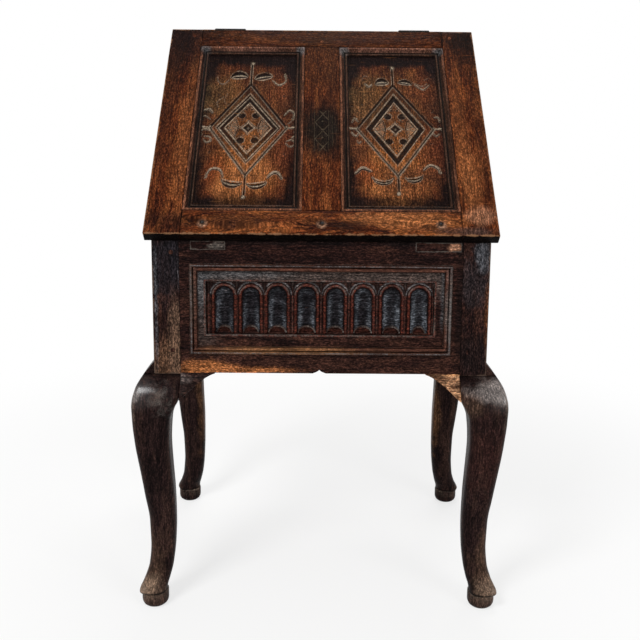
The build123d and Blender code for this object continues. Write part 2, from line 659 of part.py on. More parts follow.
# Pegs of the lid
lid_peg_length = lid_thickness - 3.0
lid_peg_places = [(step * (stile_inner + lid_peg_inset), y) for step in (-1, 1)
                  for y in (sum(bottom_tenon_y) / 2, sum(top_tenon_y) / 2)]
lid_peg_places += [(0, lid_bottom_rail_width - lid_peg_inset), (0, rail_top + lid_peg_inset)]
lid_pegs = []
for x, y in lid_peg_places:
    peg = rod((x, y, lid_thickness + peg_proud - lid_peg_length), (0, 0, 1), lid_peg_radius, lid_peg_length)
    lid_pegs.append(peg)
    for name in ("lid_stile_left", "lid_stile_right", "lid_bottom_rail", "lid_top_rail", "lid_muntin"):
        lid_pieces[name] = lid_pieces[name] - peg
lid_pieces["lid_pegs"] = Compound(children=[solids(peg) for peg in lid_pegs])

for name, shape in lid_pieces.items():
    if name in ("lid_stile_left", "lid_stile_right", "lid_top_rail"):
        pieces[name] = lid_place * shape - behind_lid
    else:
        pieces[name] = lid_place * shape

# Pegs of the carcass: front board from the front, side rails from the sides, back rails from the back
carcass_pegs = []


def peg_joint(start, direction, names):
    """Drive a peg through a joint and bore the members it passes."""
    outside = [start[index] - direction[index] * peg_proud for index in range(3)]
    peg = rod(outside, direction, peg_radius, peg_length)
    carcass_pegs.append(solids(peg))
    for name in names:
        pieces[name] = pieces[name] - peg


def middle_of(pair):
    """Halfway between two values."""
    return (pair[0] + pair[1]) / 2


bottom_peg_z = post_foot_height + leg_tenon_height + peg_wall + peg_radius
for side, step in (("left", -1), ("right", 1)):
    peg_x = step * (inner_x + peg_inset)
    for z in (front_tenon_z[0] + peg_inset, front_tenon_z[1] - peg_inset):
        peg_joint((peg_x, front_y, z), (0, 1, 0), ["post_front_" + side, "front_board"])
    for name, z in (("back_bottom_rail", bottom_peg_z), ("back_top_rail", middle_of(back_top_z))):
        peg_joint((peg_x, back_y, z), (0, -1, 0), ["post_back_" + side, name])
    for row, y, slope_z in (("front", inner_front_y - peg_inset, middle_of(slope_tenon_front)),
                            ("back", inner_back_y + peg_inset, middle_of(slope_tenon_back))):
        rails = (("bottom", bottom_peg_z), ("middle", middle_of(middle_tenon_z)), ("slope", slope_z))
        for rail, z in rails:
            names = ["post_%s_%s" % (row, side), "side_%s_rail_%s" % (rail, side)]
            peg_joint((step * side_x, y, z), (-step, 0, 0), names)
pieces["carcass_pegs"] = Compound(children=carcass_pegs)

# Butt hinges between the end of the lid and the edge of the top board
third = hinge_length / 3
outer_knuckles = [(-hinge_length / 2, -third / 2 - knuckle_gap), (third / 2 + knuckle_gap, hinge_length / 2)]
inner_knuckles = [(-third / 2, third / 2)]
bore_radius = hinge_pin_radius + hinge_pin_clearance


def leaf(edge, step, knuckles, others):
    """Upright leaf against a joint face, with its knuckles round the axis and room for the other leaf's."""
    shape = block((-hinge_length / 2, hinge_length / 2), sorted((edge, edge + step * leaf_thickness)),
                  (top_z - knuckle_radius - leaf_height, top_z))
    for ends in others:
        room = grow(ends, knuckle_gap)
        shape -= rod((room[0], hinge_y, top_z), (1, 0, 0), knuckle_radius + knuckle_gap, room[1] - room[0])
    for ends in knuckles:
        shape += rod((ends[0], hinge_y, top_z), (1, 0, 0), knuckle_radius, ends[1] - ends[0])
    return shape - rod((-far / 2, hinge_y, top_z), (1, 0, 0), bore_radius, far)


def nail(x, edge, step, z):
    """Nail through a leaf, its head sunk level with the face of the leaf."""
    head = rod((x, edge, z), (0, step, 0), nail_head_radius, nail_head_thickness)
    return head + rod((x, edge, z), (0, step, 0), nail_radius, nail_length)


def nail_hole(x, edge, step, z):
    """Room for a nail."""
    head = rod((x, edge - step, z), (0, step, 0), nail_head_radius + nail_clearance, nail_head_thickness + 1)
    return head + rod((x, edge, z), (0, step, 0), nail_radius + nail_clearance, nail_length + nail_clearance)


fixed_nails = []
lid_nails = []
pins = []
nail_z = top_z - knuckle_radius - leaf_height / 2
lid_hosts = ("lid_top_rail", "lid_stile_left", "lid_stile_right")
for side, place in (("left", hinge_inset - half_lid), ("right", half_lid - hinge_inset)):
    fixed = Pos(place, 0, 0) * leaf(board_front_y, 1, outer_knuckles, inner_knuckles)
    moving = Pos(place, 0, 0) * leaf(lid_end_y, -1, inner_knuckles, outer_knuckles)
    leaf_span = (place - hinge_length / 2, place + hinge_length / 2)
    leaf_z = (top_z - knuckle_radius - leaf_height, top_z + knuckle_radius)
    room_span = grow(leaf_span, hinge_pin_proud + knuckle_gap)
    barrel_room = rod((room_span[0], hinge_y, top_z), (1, 0, 0), knuckle_radius + knuckle_gap,
                      room_span[1] - room_span[0])
    pieces["top_board"] = pieces["top_board"] - block(leaf_span, (board_front_y - 1, board_front_y + leaf_thickness),
                                                      leaf_z) - barrel_room
    for name in lid_hosts:
        pieces[name] = pieces[name] - block(leaf_span, (lid_end_y - leaf_thickness, lid_end_y + 1),
                                            leaf_z) - barrel_room
    for number in (-1, 0, 1):
        x = place + number * nail_spacing
        fixed -= nail_hole(x, board_front_y, 1, nail_z)
        pieces["top_board"] = pieces["top_board"] - nail_hole(x, board_front_y, 1, nail_z)
        fixed_nails.append(solids(nail(x, board_front_y, 1, nail_z)))
        moving -= nail_hole(x, lid_end_y, -1, nail_z)
        for name in lid_hosts:
            pieces[name] = pieces[name] - nail_hole(x, lid_end_y, -1, nail_z)
        lid_nails.append(solids(nail(x, lid_end_y, -1, nail_z)))
    pieces["hinge_fixed_leaf_" + side] = fixed
    pieces["hinge_moving_leaf_" + side] = moving
    pin_start = (place - hinge_length / 2 - hinge_pin_proud, hinge_y, top_z)
    pins.append(solids(rod(pin_start, (1, 0, 0), hinge_pin_radius, hinge_length + 2 * hinge_pin_proud)))
pieces["hinge_nails_fixed"] = Compound(children=fixed_nails)
pieces["hinge_nails_lid"] = Compound(children=lid_nails)
pieces["hinge_pins"] = Compound(children=pins)

os.makedirs("parts", exist_ok=True)
for name, shape in pieces.items():
    export_step(solids(shape), "parts/%s.step" % name)
print(len(pieces), "pieces; top", round(top_z, 1), "hinge axis y", round(hinge_y, 2))
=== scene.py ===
import math

import bmesh
import bpy
import numpy as np
from bpy.props import FloatProperty, FloatVectorProperty, IntProperty, PointerProperty
from mathutils import Matrix, Vector


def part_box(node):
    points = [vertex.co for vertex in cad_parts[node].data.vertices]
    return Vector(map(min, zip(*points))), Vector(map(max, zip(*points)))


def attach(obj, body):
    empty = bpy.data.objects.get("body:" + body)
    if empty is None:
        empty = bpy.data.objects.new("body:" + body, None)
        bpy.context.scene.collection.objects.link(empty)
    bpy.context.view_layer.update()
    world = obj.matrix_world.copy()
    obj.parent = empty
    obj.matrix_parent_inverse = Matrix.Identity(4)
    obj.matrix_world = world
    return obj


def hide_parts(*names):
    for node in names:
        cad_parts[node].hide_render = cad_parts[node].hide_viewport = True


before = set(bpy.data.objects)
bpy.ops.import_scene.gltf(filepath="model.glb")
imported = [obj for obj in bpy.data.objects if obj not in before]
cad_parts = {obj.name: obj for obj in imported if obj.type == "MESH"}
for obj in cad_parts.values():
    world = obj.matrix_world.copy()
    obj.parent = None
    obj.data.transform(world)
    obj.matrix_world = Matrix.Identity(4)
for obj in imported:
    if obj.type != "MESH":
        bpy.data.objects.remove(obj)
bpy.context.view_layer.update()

bl_info = {
    "name": "Bible box on stand",
    "version": (1, 0, 0),
    "blender": (4, 5, 0),
    "location": "View3D > Sidebar > Bible box",
    "description": "Carved, moulded and worn surfaces of an oak desk box on cabriole legs",
    "category": "Object",
}

MM = 0.001

# The carcass, in millimetres: its outer faces, the feet of the posts and the seat of the lid at the front
FRONT_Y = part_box("post_front_left")[0][1] / MM
BOARD_FRONT_Y = FRONT_Y + 0.5
SIDE_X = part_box("post_front_right")[1][0] / MM
BACK_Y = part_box("post_back_right")[1][1] / MM
POST = 48.0
FOOT_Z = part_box("post_front_left")[0][2] / MM
SEAT_Z = FOOT_Z + 241.3

# The lid, on its own axes: u across, v up the slope from the lower arris, w up from the underside
LID_ANGLE = math.radians(46.3)
LID_SIN, LID_COS = math.sin(LID_ANGLE), math.cos(LID_ANGLE)
LID_HALF, LID_LENGTH, LID_THICKNESS = 310.0, 522.0, 22.0
LID_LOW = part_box("lid_bottom_rail")[0]
LID_Y = LID_LOW[1] / MM + LID_THICKNESS * LID_SIN
LID_Z = LID_LOW[2] / MM
LID_END_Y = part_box("lid_top_rail")[1][1] / MM
OPENING_U, OPENING_V = (35.0, 246.0), (52.0, 472.0)
OPENING_MIDDLE = sum(OPENING_U) / 2, sum(OPENING_V) / 2
MUNTIN_TOP = OPENING_V[1] - 0.1
PANEL_RECESS = 9.0
PANEL_BACK = 5.2
LEDGE_NAILS = (-208.5, 1.5, 208.5)
NAIL_V = 25.0

# Signs of the corners of a section, in the order in which its outline is walked
CORNERS = ((1, 1), (-1, 1), (-1, -1), (1, -1))


# Sizes and colours

def length(name, description, default, **more):
    """A length in millimetres shown in scene units."""
    return FloatProperty(name=name, description=description, default=default * MM, unit="LENGTH", subtype="DISTANCE",
                         precision=5, **more)


def colour(name, description, red, green, blue):
    """A colour given as it looks on a screen, kept as light values."""
    return FloatVectorProperty(name=name, description=description, subtype="COLOR", size=3, min=0.0, max=1.0,
                               default=tuple(to_light(part / 255) for part in (red, green, blue)))


def to_light(value):
    """Screen value to light value: a straight foot up to 0.04, then the power 2.4 of the offset value."""
    return value / 12.92 if value <= 0.04045 else ((value + 0.055) / 1.055) ** 2.4


class BIBLEBOX_Carving(bpy.types.PropertyGroup):
    """Sizes of the carved work."""
    grid: length("Grid", "Distance between the points of a carved surface", 1.15)
    lozenge_width: length("Lozenge half width", "Middle of a lozenge to its side corner", 76.0)
    lozenge_height: length("Lozenge half height", "Middle of a lozenge to its upper corner", 120.5)
    lozenge_drop: length("Lozenge drop", "Middle of a panel down to the middle of its lozenge", 5.0)
    channel_width: length("Channel half width", "Middle of a lozenge to the outer edge of its inner channel", 62.0)
    channel_height: length("Channel half height", "Middle to the upper corner of the inner channel", 90.0)
    channel_depth: length("Channel depth", "Depth of the inner channel of a lozenge", 2.8)
    groove_depth: length("Groove depth", "Depth of the cut lines of the lid", 1.8)
    flute_width: length("Flute width", "Width of a flute of the arcade", 34.0)
    flute_depth: length("Flute depth", "Depth of a flute below the ground of the arcade", 6.0)
    bead_height: length("Bead height", "Height of the bead round each arch above the ground", 2.4)
    ripple: length("Ripple", "Height of the gouge marks across a flute", 0.22)
    arches: IntProperty(name="Arches", description="Number of arches in the arcade", default=8, min=1)


class BIBLEBOX_Wear(bpy.types.PropertyGroup):
    """Sizes of worn edges."""
    arris: length("Arris", "Rounding of the edges of boards", 1.3)
    nose: length("Nose", "Rounding of the lower edge of the lid", 2.6)
    chip: length("Chip", "Depth of the largest chips along an edge", 0.5)
    wobble: length("Wobble", "How far a face strays from flat", 0.22)


class BIBLEBOX_Colours(bpy.types.PropertyGroup):
    """Colours of the timber and of what lies on it."""
    lid_deep: colour("Lid, deep", "Dark streaks of the lid frame", 44, 19, 11)
    lid_body: colour("Lid, body", "Main colour of the lid frame", 80, 39, 19)
    lid_light: colour("Lid, light", "Light streaks of the lid frame", 117, 67, 35)
    panel_deep: colour("Panel, deep", "Dark streaks of the carved panels", 52, 22, 10)
    panel_body: colour("Panel, body", "Main colour of the carved panels", 92, 48, 22)
    panel_light: colour("Panel, light", "Light streaks of the carved panels", 140, 90, 50)
    case_deep: colour("Case, deep", "Dark streaks of posts and front", 17, 9, 9)
    case_body: colour("Case, body", "Main colour of posts and front", 38, 22, 19)
    case_light: colour("Case, light", "Light streaks of posts and front", 62, 39, 31)
    leg_deep: colour("Leg, deep", "Dark streaks of the legs", 15, 9, 9)
    leg_body: colour("Leg, body", "Main colour of the legs", 36, 24, 23)
    leg_light: colour("Leg, light", "Light streaks of the legs", 60, 43, 37)
    # Nearly black: soot and old wax on the timber, and on the front board also a painted shadow under the lid
    soot: colour("Soot", "Old wax and dirt gone nearly black", 15, 10, 10)
    # Blue-grey painted sheen laid over the flutes
    bloom: colour("Bloom", "Blue-grey bloom in the flutes", 72, 76, 82)
    dull: colour("Dull", "Grey-brown ground of the sunk field", 60, 52, 49)
    rust: colour("Rust", "Red-brown of beads and reeds", 62, 28, 21)
    honey: colour("Honey", "Wood worn back to a golden brown", 132, 82, 48)
    raw: colour("Raw", "Broken wood of the chipped bracket", 192, 140, 98)
    iron: colour("Iron", "Hinges and nails", 40, 36, 34)
    floor: colour("Floor", "Floor under the piece", 244, 244, 243)


# Meshes

def smooth_step(value, low, high):
    """0 below low, 1 above high, and t * t * (3 - 2 t) between."""
    share = np.clip((value - low) / (high - low), 0.0, 1.0)
    return share * share * (3 - 2 * share)


def blurred(field, passes):
    """Each value is mixed with its four neighbours, 2 / 6 its own and 1 / 6 each of theirs, in so many passes."""
    for _ in range(passes):
        padded = np.pad(field, 1, mode="edge")
        field = (padded[1:-1, 1:-1] * 2 + padded[2:, 1:-1] + padded[:-2, 1:-1] + padded[1:-1, 2:]
                 + padded[1:-1, :-2]) / 6
    return field


def soft_noise(shape, coarse, seed):
    """Random values on a coarse grid, spread over the shape by eased interpolation and scaled to about -1 to 1."""
    random = np.random.default_rng(seed)
    rows = max(2, int(shape[0] / coarse) + 2)
    columns = max(2, int(shape[1] / coarse) + 2)
    field = blurred(random.uniform(-1, 1, (rows, columns)), 1)
    row = np.linspace(0, rows - 1.001, shape[0])
    column = np.linspace(0, columns - 1.001, shape[1])
    low_row, low_column = row.astype(int), column.astype(int)
    share_row = smooth_step(row - low_row, 0, 1)[:, None]
    share_column = smooth_step(column - low_column, 0, 1)[None, :]
    corner = field[np.ix_(low_row, low_column)] * (1 - share_row) * (1 - share_column)
    corner = corner + field[np.ix_(low_row + 1, low_column)] * share_row * (1 - share_column)
    corner = corner + field[np.ix_(low_row, low_column + 1)] * (1 - share_row) * share_column
    return 1.5 * (corner + field[np.ix_(low_row + 1, low_column + 1)] * share_row * share_column)


def lid_points(u, v, w):
    """World points, in millimetres, of places on the lid's own axes."""
    u, v, w = np.broadcast_arrays(u, v, w)
    return np.stack([u, LID_Y + v * LID_COS - w * LID_SIN, LID_Z + v * LID_SIN + w * LID_COS], axis=-1)


def lid_back(points, w):
    """The places on the lid straight behind the given world points, at a height w above its underside."""
    v = (points[:, 1] - LID_Y) * LID_COS + (points[:, 2] - LID_Z) * LID_SIN
    return lid_points(points[:, 0], v, np.full(len(points), w))


def grid_faces(index):
    """Quads between the neighbours in a grid of point numbers."""
    corners = (index[:-1, :-1], index[:-1, 1:], index[1:, 1:], index[1:, :-1])
    return np.stack([corner.ravel() for corner in corners], axis=1).tolist()


def tube_faces(rows, columns, start=0):
    """Faces of a closed tube whose rows are rings of points: its sides, and one face at each end."""
    index = start + np.arange(rows * columns).reshape(rows, columns)
    return grid_faces(np.hstack([index, index[:, :1]])) + [index[0].tolist(), index[-1].tolist()]


def put_in(name, points, faces, material, body, nodes=(), marks=None, sharp=38.0):
    """A finished piece from points in millimetres: faces outwards, smooth and on its body."""
    mesh = bpy.data.meshes.new(name)
    mesh.from_pydata((np.asarray(points).reshape(-1, 3) * MM).tolist(), [], faces)
    for key, values in (marks or {}).items():
        layer = mesh.attributes.new(key, "FLOAT", "POINT")
        layer.data.foreach_set("value", np.asarray(values, dtype=np.float32).ravel())
    shape = bmesh.new()
    shape.from_mesh(mesh)
    bmesh.ops.recalc_face_normals(shape, faces=shape.faces)
    shape.to_mesh(mesh)
    shape.free()
    mesh.shade_smooth()
    mesh.set_sharp_from_angle(angle=math.radians(sharp))
    piece = bpy.data.objects.new(name, mesh)
    bpy.context.scene.collection.objects.link(piece)
    mesh.materials.append(material)
    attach(piece, body)
    if nodes:
        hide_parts(*nodes)


def relief_marks(height, fine=2, coarse=30):
    """Marks of a carved surface: hollow where it lies below its surroundings, ridge where it stands above."""
    close = height - blurred(height, fine)
    wide = height - blurred(height, coarse)
    return {"hollow": smooth_step(-(close * 0.4 + wide), 0.25, 1.0), "ridge": smooth_step(close, 0.10, 0.42)}


def relief_piece(name, front, back_of, material, body, nodes, height, tones):
    """A grid of points as the carved face, a wall from its border to a flat back, and the back as one face.

    The marks of the carving and the tones, each an array on the same grid, are kept as attributes."""
    rows, columns = front.shape[:2]
    index = np.arange(rows * columns).reshape(rows, columns)
    border = np.concatenate([index[0], index[1:, -1], index[-1, -2::-1], index[-2:0:-1, 0]])
    face_points = front.reshape(-1, 3)
    back = back_of(face_points[border])
    count, ring = len(face_points), len(border)
    step = np.arange(ring)
    wall = np.stack([border, np.roll(border, -1), count + np.roll(step, -1), count + step], axis=1)
    faces = grid_faces(index) + wall.tolist() + [(count + step).tolist()]
    marks = {key: np.concatenate([np.broadcast_to(values, height.shape).ravel(), np.zeros(ring)])
             for key, values in dict(relief_marks(height), **tones).items()}
    put_in(name, np.vstack([face_points, back]), faces, material, body, nodes, marks, sharp=50.0)


def spread(stops, step):
    """Coordinates through every stop, no further apart than the step, with a close pair at each inner stop."""
    values = [np.array([stops[0]])]
    for low, high in zip(stops[:-1], stops[1:]):
        count = max(1, int(round((high - low) / step)))
        values.append(np.linspace(low + 0.12, high - 0.12, count + 1))
    return np.concatenate(values + [np.array([stops[-1]])])


def beam(name, low, high, along, material, body, nodes, seed, radii=None, cut=None, lid=False):
    """A worn board: a rounded rectangle carried along its length, its corner radii and faces straying a little.

    A corner's radius is its own size times 1 plus noise, plus bells of random place and depth as chips. The
    section shrinks over the last arris at each end, as a quarter round."""
    wear = bpy.context.scene.biblebox_wear
    random = np.random.default_rng(seed)
    low, high = np.array(low, dtype=float), np.array(high, dtype=float)
    across = [axis for axis in range(3) if axis != along]
    span = high[along] - low[along]
    edge = wear.arris / MM
    radii = np.array(radii or [edge] * 4, dtype=float)
    ends = edge * np.array([0.0, 0.25, 0.6, 1.0])
    run = np.concatenate([ends, np.linspace(edge, span - edge, max(3, int(span / 5.0)))[1:-1], span - ends[::-1]])
    gap = np.minimum(run, span - run)
    inset = np.where(gap < edge, edge - np.sqrt(np.clip(edge ** 2 - (edge - gap) ** 2, 0, None)), 0.0)
    bends = soft_noise((len(run), 8), 9.0, seed + 1)
    corner_radii = radii[None, :] * (1 + 0.35 * bends[:, :4])
    for _ in range(int(span / 60) + 2):
        place, corner = random.uniform(0, span), random.integers(0, 4)
        bell = np.exp(-((run - place) / random.uniform(2.5, 8.0)) ** 2)
        corner_radii[:, corner] += wear.chip / MM * random.uniform(0.2, 1.0) * bell
    half = (high - low)[across] / 2
    middle = (high + low)[across] / 2
    turn = np.linspace(0, math.pi / 2, 5)
    rounds = []
    for corner, (sign_x, sign_y) in enumerate(CORNERS):
        radius = np.clip(corner_radii[:, corner], 0.3, min(half) * 0.8)[:, None]
        angle = turn[None, :] + corner * math.pi / 2
        x = sign_x * (half[0] - radius - inset[:, None]) + radius * np.cos(angle)
        y = sign_y * (half[1] - radius - inset[:, None]) + radius * np.sin(angle)
        rounds.append(np.stack([x, y], axis=-1))
    loop = []
    share = np.array([0.25, 0.5, 0.75])[None, :, None]
    for corner, out in enumerate(((0, 1), (-1, 0), (0, -1), (1, 0))):
        here, there = rounds[corner][:, -1:], rounds[(corner + 1) % 4][:, :1]
        sway = bends[:, 4 + corner][:, None] * wear.wobble / MM * np.sin(share[..., 0] * math.pi)
        loop += [rounds[corner], here * (1 - share) + there * share + sway[..., None] * np.array(out)]
    section = np.concatenate(loop, axis=1) + middle
    points = np.zeros(section.shape[:2] + (3,))
    points[..., across[0]] = section[..., 0]
    points[..., across[1]] = section[..., 1]
    points[..., along] = low[along] + run[:, None]
    if cut:
        points = cut(points, (points[..., along] - low[along]) / span)
    if lid:
        points = lid_points(points[..., 0], points[..., 1], points[..., 2])
    put_in(name, points, tube_faces(*points.shape[:2]), material, body, nodes)


def eased_copy(name, node, material, body, ease=0.9, shortest=24.0):
    """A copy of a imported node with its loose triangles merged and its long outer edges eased."""
    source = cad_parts[node]
    mesh = source.data.copy()
    mesh.name = name
    mesh.materials.clear()
    mesh.materials.append(material)
    shape = bmesh.new()
    shape.from_mesh(mesh)
    bmesh.ops.remove_doubles(shape, verts=shape.verts, dist=2e-5)
    bmesh.ops.dissolve_limit(shape, angle_limit=math.radians(0.6), verts=shape.verts, edges=shape.edges)
    edges = [edge for edge in shape.edges if edge.is_manifold and edge.is_convex
             and edge.calc_length() > shortest * MM and edge.calc_face_angle() > math.radians(50)]
    bmesh.ops.bevel(shape, geom=edges, offset=ease * MM, segments=2, profile=0.5, affect="EDGES",
                    clamp_overlap=False)
    for face in shape.faces:
        face.smooth = True
        face.material_index = 0
    shape.to_mesh(mesh)
    shape.free()
    mesh.set_sharp_from_angle(angle=math.radians(36))
    piece = bpy.data.objects.new(name, mesh)
    bpy.context.scene.collection.objects.link(piece)
    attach(piece, body)
    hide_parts(node)


# Nodes of the materials

def add(tree, kind, inputs=None, **settings):
    """One node: settings are its properties, inputs its sockets by name or number, joined or set."""
    node = tree.nodes.new(kind)
    for key, value in settings.items():
        setattr(node, key, value)
    for key, value in (inputs or {}).items():
        if isinstance(value, bpy.types.NodeSocket):
            tree.links.new(value, node.inputs[key])
        else:
            node.inputs[key].default_value = value
    return node


def calc(tree, operation, *values):
    """Result of a Math node."""
    return add(tree, "ShaderNodeMath", dict(enumerate(values)), operation=operation).outputs[0]


def vector(tree, operation, *values):
    """Result of a Vector Math node: a value for a length, otherwise a vector."""
    node = add(tree, "ShaderNodeVectorMath", dict(enumerate(values)), operation=operation)
    return node.outputs["Value" if operation == "LENGTH" else "Vector"]


def rise(tree, value, low, high, bottom=0.0, top=1.0):
    """A value that climbs smoothly from bottom to top as the input goes from low to high."""
    return add(tree, "ShaderNodeMapRange", {0: value, 1: low, 2: high, 3: bottom, 4: top},
               interpolation_type="SMOOTHSTEP").outputs[0]


def times(tone, share):
    """A colour made darker or lighter by a share, at most 1."""
    return [min(part * share, 1.0) for part in tone]


def tint(tree, share, below, above, blend="MIX"):
    """Two colours mixed by a share."""
    below, above = (tone if isinstance(tone, bpy.types.NodeSocket) else tuple(tone)[:3] + (1.0,)
                    for tone in (below, above))
    return add(tree, "ShaderNodeMix", {0: share, 6: below, 7: above}, data_type="RGBA", blend_type=blend).outputs[2]


def noise(tree, place, scale, detail=3.0, rough=0.55, twist=0.0):
    """Value of a Noise Texture."""
    inputs = {"Vector": place, "Scale": scale, "Detail": detail, "Roughness": rough, "Distortion": twist}
    return add(tree, "ShaderNodeTexNoise", inputs).outputs[0]


def mapped(tree, place, **inputs):
    """A place stretched by Scale and turned by Rotation."""
    return add(tree, "ShaderNodeMapping", dict(inputs, Vector=place)).outputs[0]


def mark(tree, name):
    """Value of a mark kept on the points of a piece."""
    return add(tree, "ShaderNodeAttribute", attribute_name=name).outputs["Fac"]


def seen_ray(tree):
    """1 for what the camera sees, also by way of a mirror or through glass, and 0 for other rays."""
    path = add(tree, "ShaderNodeLightPath").outputs
    seen = calc(tree, "MAXIMUM", path["Is Camera Ray"], path["Is Glossy Ray"])
    return calc(tree, "MAXIMUM", seen, path["Is Transmission Ray"])


def new_material(name):
    """A material with an empty tree; gives both."""
    material = bpy.data.materials.new(name)
    material.use_nodes = True
    material.node_tree.nodes.clear()
    return material, material.node_tree


def show(tree, shader, kind="Material"):
    """Join a shader to the output of its material or world."""
    tree.links.new(shader.outputs[0], add(tree, "ShaderNodeOutput" + kind).inputs["Surface"])


def new_group(name, inputs, outputs):
    """An empty node group with value outputs; an input is a value if its default is a number, otherwise a vector.
    Gives the tree, its inputs and its output node."""
    tree = bpy.data.node_groups.new(name, "ShaderNodeTree")
    for socket, default in inputs.items():
        kind = "NodeSocketFloat" if isinstance(default, float) else "NodeSocketVector"
        made = tree.interface.new_socket(socket, in_out="INPUT", socket_type=kind)
        if default is not None:
            made.default_value = default
    for socket in outputs:
        tree.interface.new_socket(socket, in_out="OUTPUT", socket_type="NodeSocketFloat")
    return tree, tree.nodes.new("NodeGroupInput").outputs, tree.nodes.new("NodeGroupOutput")


def finish_group(tree, out, **values):
    """Join the results of a group to its outputs."""
    for socket, value in values.items():
        tree.links.new(value, out.inputs[socket])


def use(tree, group, **inputs):
    """Outputs of a placed node group."""
    return add(tree, "ShaderNodeGroup", inputs, node_tree=bpy.data.node_groups[group]).outputs


def make_grain_group():
    """Oak along X: fine streaks, broad figure, short dark pores, flecks and the height that goes with them."""
    tree, given, out = new_group("Oak grain", {"Place": None, "Seed": 0.0, "Swirl": 0.6},
                                 ("Streaks", "Figure", "Pores", "Fleck", "Relief"))
    seed = given["Seed"]
    shift = add(tree, "ShaderNodeCombineXYZ", {0: seed, 1: calc(tree, "MULTIPLY", seed, 0.37),
                                               2: calc(tree, "MULTIPLY", seed, 0.71)}).outputs[0]
    place = vector(tree, "ADD", given["Place"], shift)
    bend = noise(tree, mapped(tree, place, Scale=(5.0, 16.0, 16.0)), 1.0, 2.0)
    sway = calc(tree, "MULTIPLY", bend, calc(tree, "MULTIPLY", given["Swirl"], 0.05))
    place = vector(tree, "ADD", place, add(tree, "ShaderNodeCombineXYZ", {1: sway}).outputs[0])
    streaks = noise(tree, mapped(tree, place, Scale=(18.0, 330.0, 330.0)), 1.0, 4.0, 0.7)
    figure = noise(tree, mapped(tree, place, Scale=(7.0, 40.0, 40.0)), 1.0, 5.0, 0.66, 0.5)
    dashes = noise(tree, mapped(tree, place, Scale=(60.0, 620.0, 620.0)), 1.0, 1.0, 0.4)
    pores = rise(tree, dashes, 0.54, 0.64)
    fleck = noise(tree, mapped(tree, place, Scale=(190.0, 440.0, 440.0)), 1.0, 2.0, 0.8)
    relief = calc(tree, "SUBTRACT", calc(tree, "MULTIPLY", streaks, 0.6), pores)
    finish_group(tree, out, Streaks=streaks, Figure=figure, Pores=pores, Fleck=fleck, Relief=relief)


def make_patina_group():
    """Irregular patches: cloudy noise broken by a finer one, cut at a level."""
    tree, given, out = new_group("Oak patina", {"Place": None, "Seed": 0.0, "Size": 12.0, "Level": 0.55, "Soft": 0.12},
                                 ("Mask",))
    shift = add(tree, "ShaderNodeCombineXYZ", {axis: given["Seed"] for axis in range(3)}).outputs[0]
    cloud = noise(tree, vector(tree, "ADD", given["Place"], shift), given["Size"], 6.0, 0.62, 0.5)
    finish_group(tree, out, Mask=rise(tree, cloud, given["Level"], calc(tree, "ADD", given["Level"], given["Soft"])))


def make_arris_group():
    """Nearness to an edge of a box: the middle one of the three distances to its faces, broken by noise."""
    tree, given, out = new_group("Worn arris", {"Place": None, "Centre": None, "Half": None, "Reach": 0.006}, ("Mask",))
    away = vector(tree, "ABSOLUTE", vector(tree, "SUBTRACT", given["Place"], given["Centre"]))
    parts = add(tree, "ShaderNodeSeparateXYZ", {0: vector(tree, "SUBTRACT", given["Half"], away)}).outputs
    low = calc(tree, "MINIMUM", parts[0], parts[1])
    high = calc(tree, "MAXIMUM", parts[0], parts[1])
    middle = calc(tree, "MAXIMUM", low, calc(tree, "MINIMUM", high, parts[2]))
    rough = noise(tree, given["Place"], 70.0, 4.0, 0.65)
    reach = calc(tree, "MULTIPLY", given["Reach"], rise(tree, rough, 0.30, 0.75, 0.05, 1.7))
    mask = calc(tree, "SUBTRACT", 1.0, calc(tree, "DIVIDE", middle, reach))
    finish_group(tree, out, Mask=add(tree, "ShaderNodeClamp", {0: mask}).outputs[0])


def make_zone_group():
    """One cloudy spot: 1 near its centre and 0 past its reach, the border broken by noise."""
    tree, given, out = new_group("Oak zone", {"Place": None, "Centre": None, "Reach": (0.05, 0.05, 0.05),
                                              "Ragged": 0.6}, ("Mask",))
    away = vector(tree, "SUBTRACT", given["Place"], given["Centre"])
    far = vector(tree, "LENGTH", vector(tree, "DIVIDE", away, given["Reach"]))
    rough = calc(tree, "SUBTRACT", noise(tree, given["Place"], 38.0, 5.0, 0.6), 0.5)
    far = calc(tree, "MULTIPLY_ADD", rough, calc(tree, "MULTIPLY", given["Ragged"], 2.0), far)
    finish_group(tree, out, Mask=rise(tree, far, 0.3, 1.1, 1.0, 0.0))


def zone_mask(tree, place, centre, reach, strength, ragged):
    """Share of a cloudy spot whose centre and reach are in millimetres."""
    mask = use(tree, "Oak zone", Place=place, Centre=[part * MM for part in centre],
               Reach=[part * MM for part in reach], Ragged=ragged)["Mask"]
    return calc(tree, "MULTIPLY", mask, strength)


def arris_mask(tree, place, box, reach):
    """Share of nearness to the edges of a box whose corners are in millimetres."""
    centre = [(low + high) / 2 * MM for low, high in zip(*box)]
    half = [abs(high - low) / 2 * MM for low, high in zip(*box)]
    return use(tree, "Worn arris", Place=place, Centre=centre, Half=half, Reach=reach)["Mask"]


def near(zones, box):
    """The zones whose reach meets a box."""
    return [zone for zone in zones if all(low - reach < centre < high + reach for centre, reach, low, high
                                          in zip(zone[0], zone[1], *box))]


# Turns that bring a board's length onto the grain's X
GRAIN_TURNS = {"x": (0.0, 0.0, 0.0), "y": (0.0, 0.0, -math.pi / 2), "z": (0.0, math.pi / 2, 0.0)}
SEAM_REACH = 0.0022
BRIGHT_FLECK = (3.1, 2.95, 2.8)
DARK_FLECK = (0.25, 0.23, 0.22)


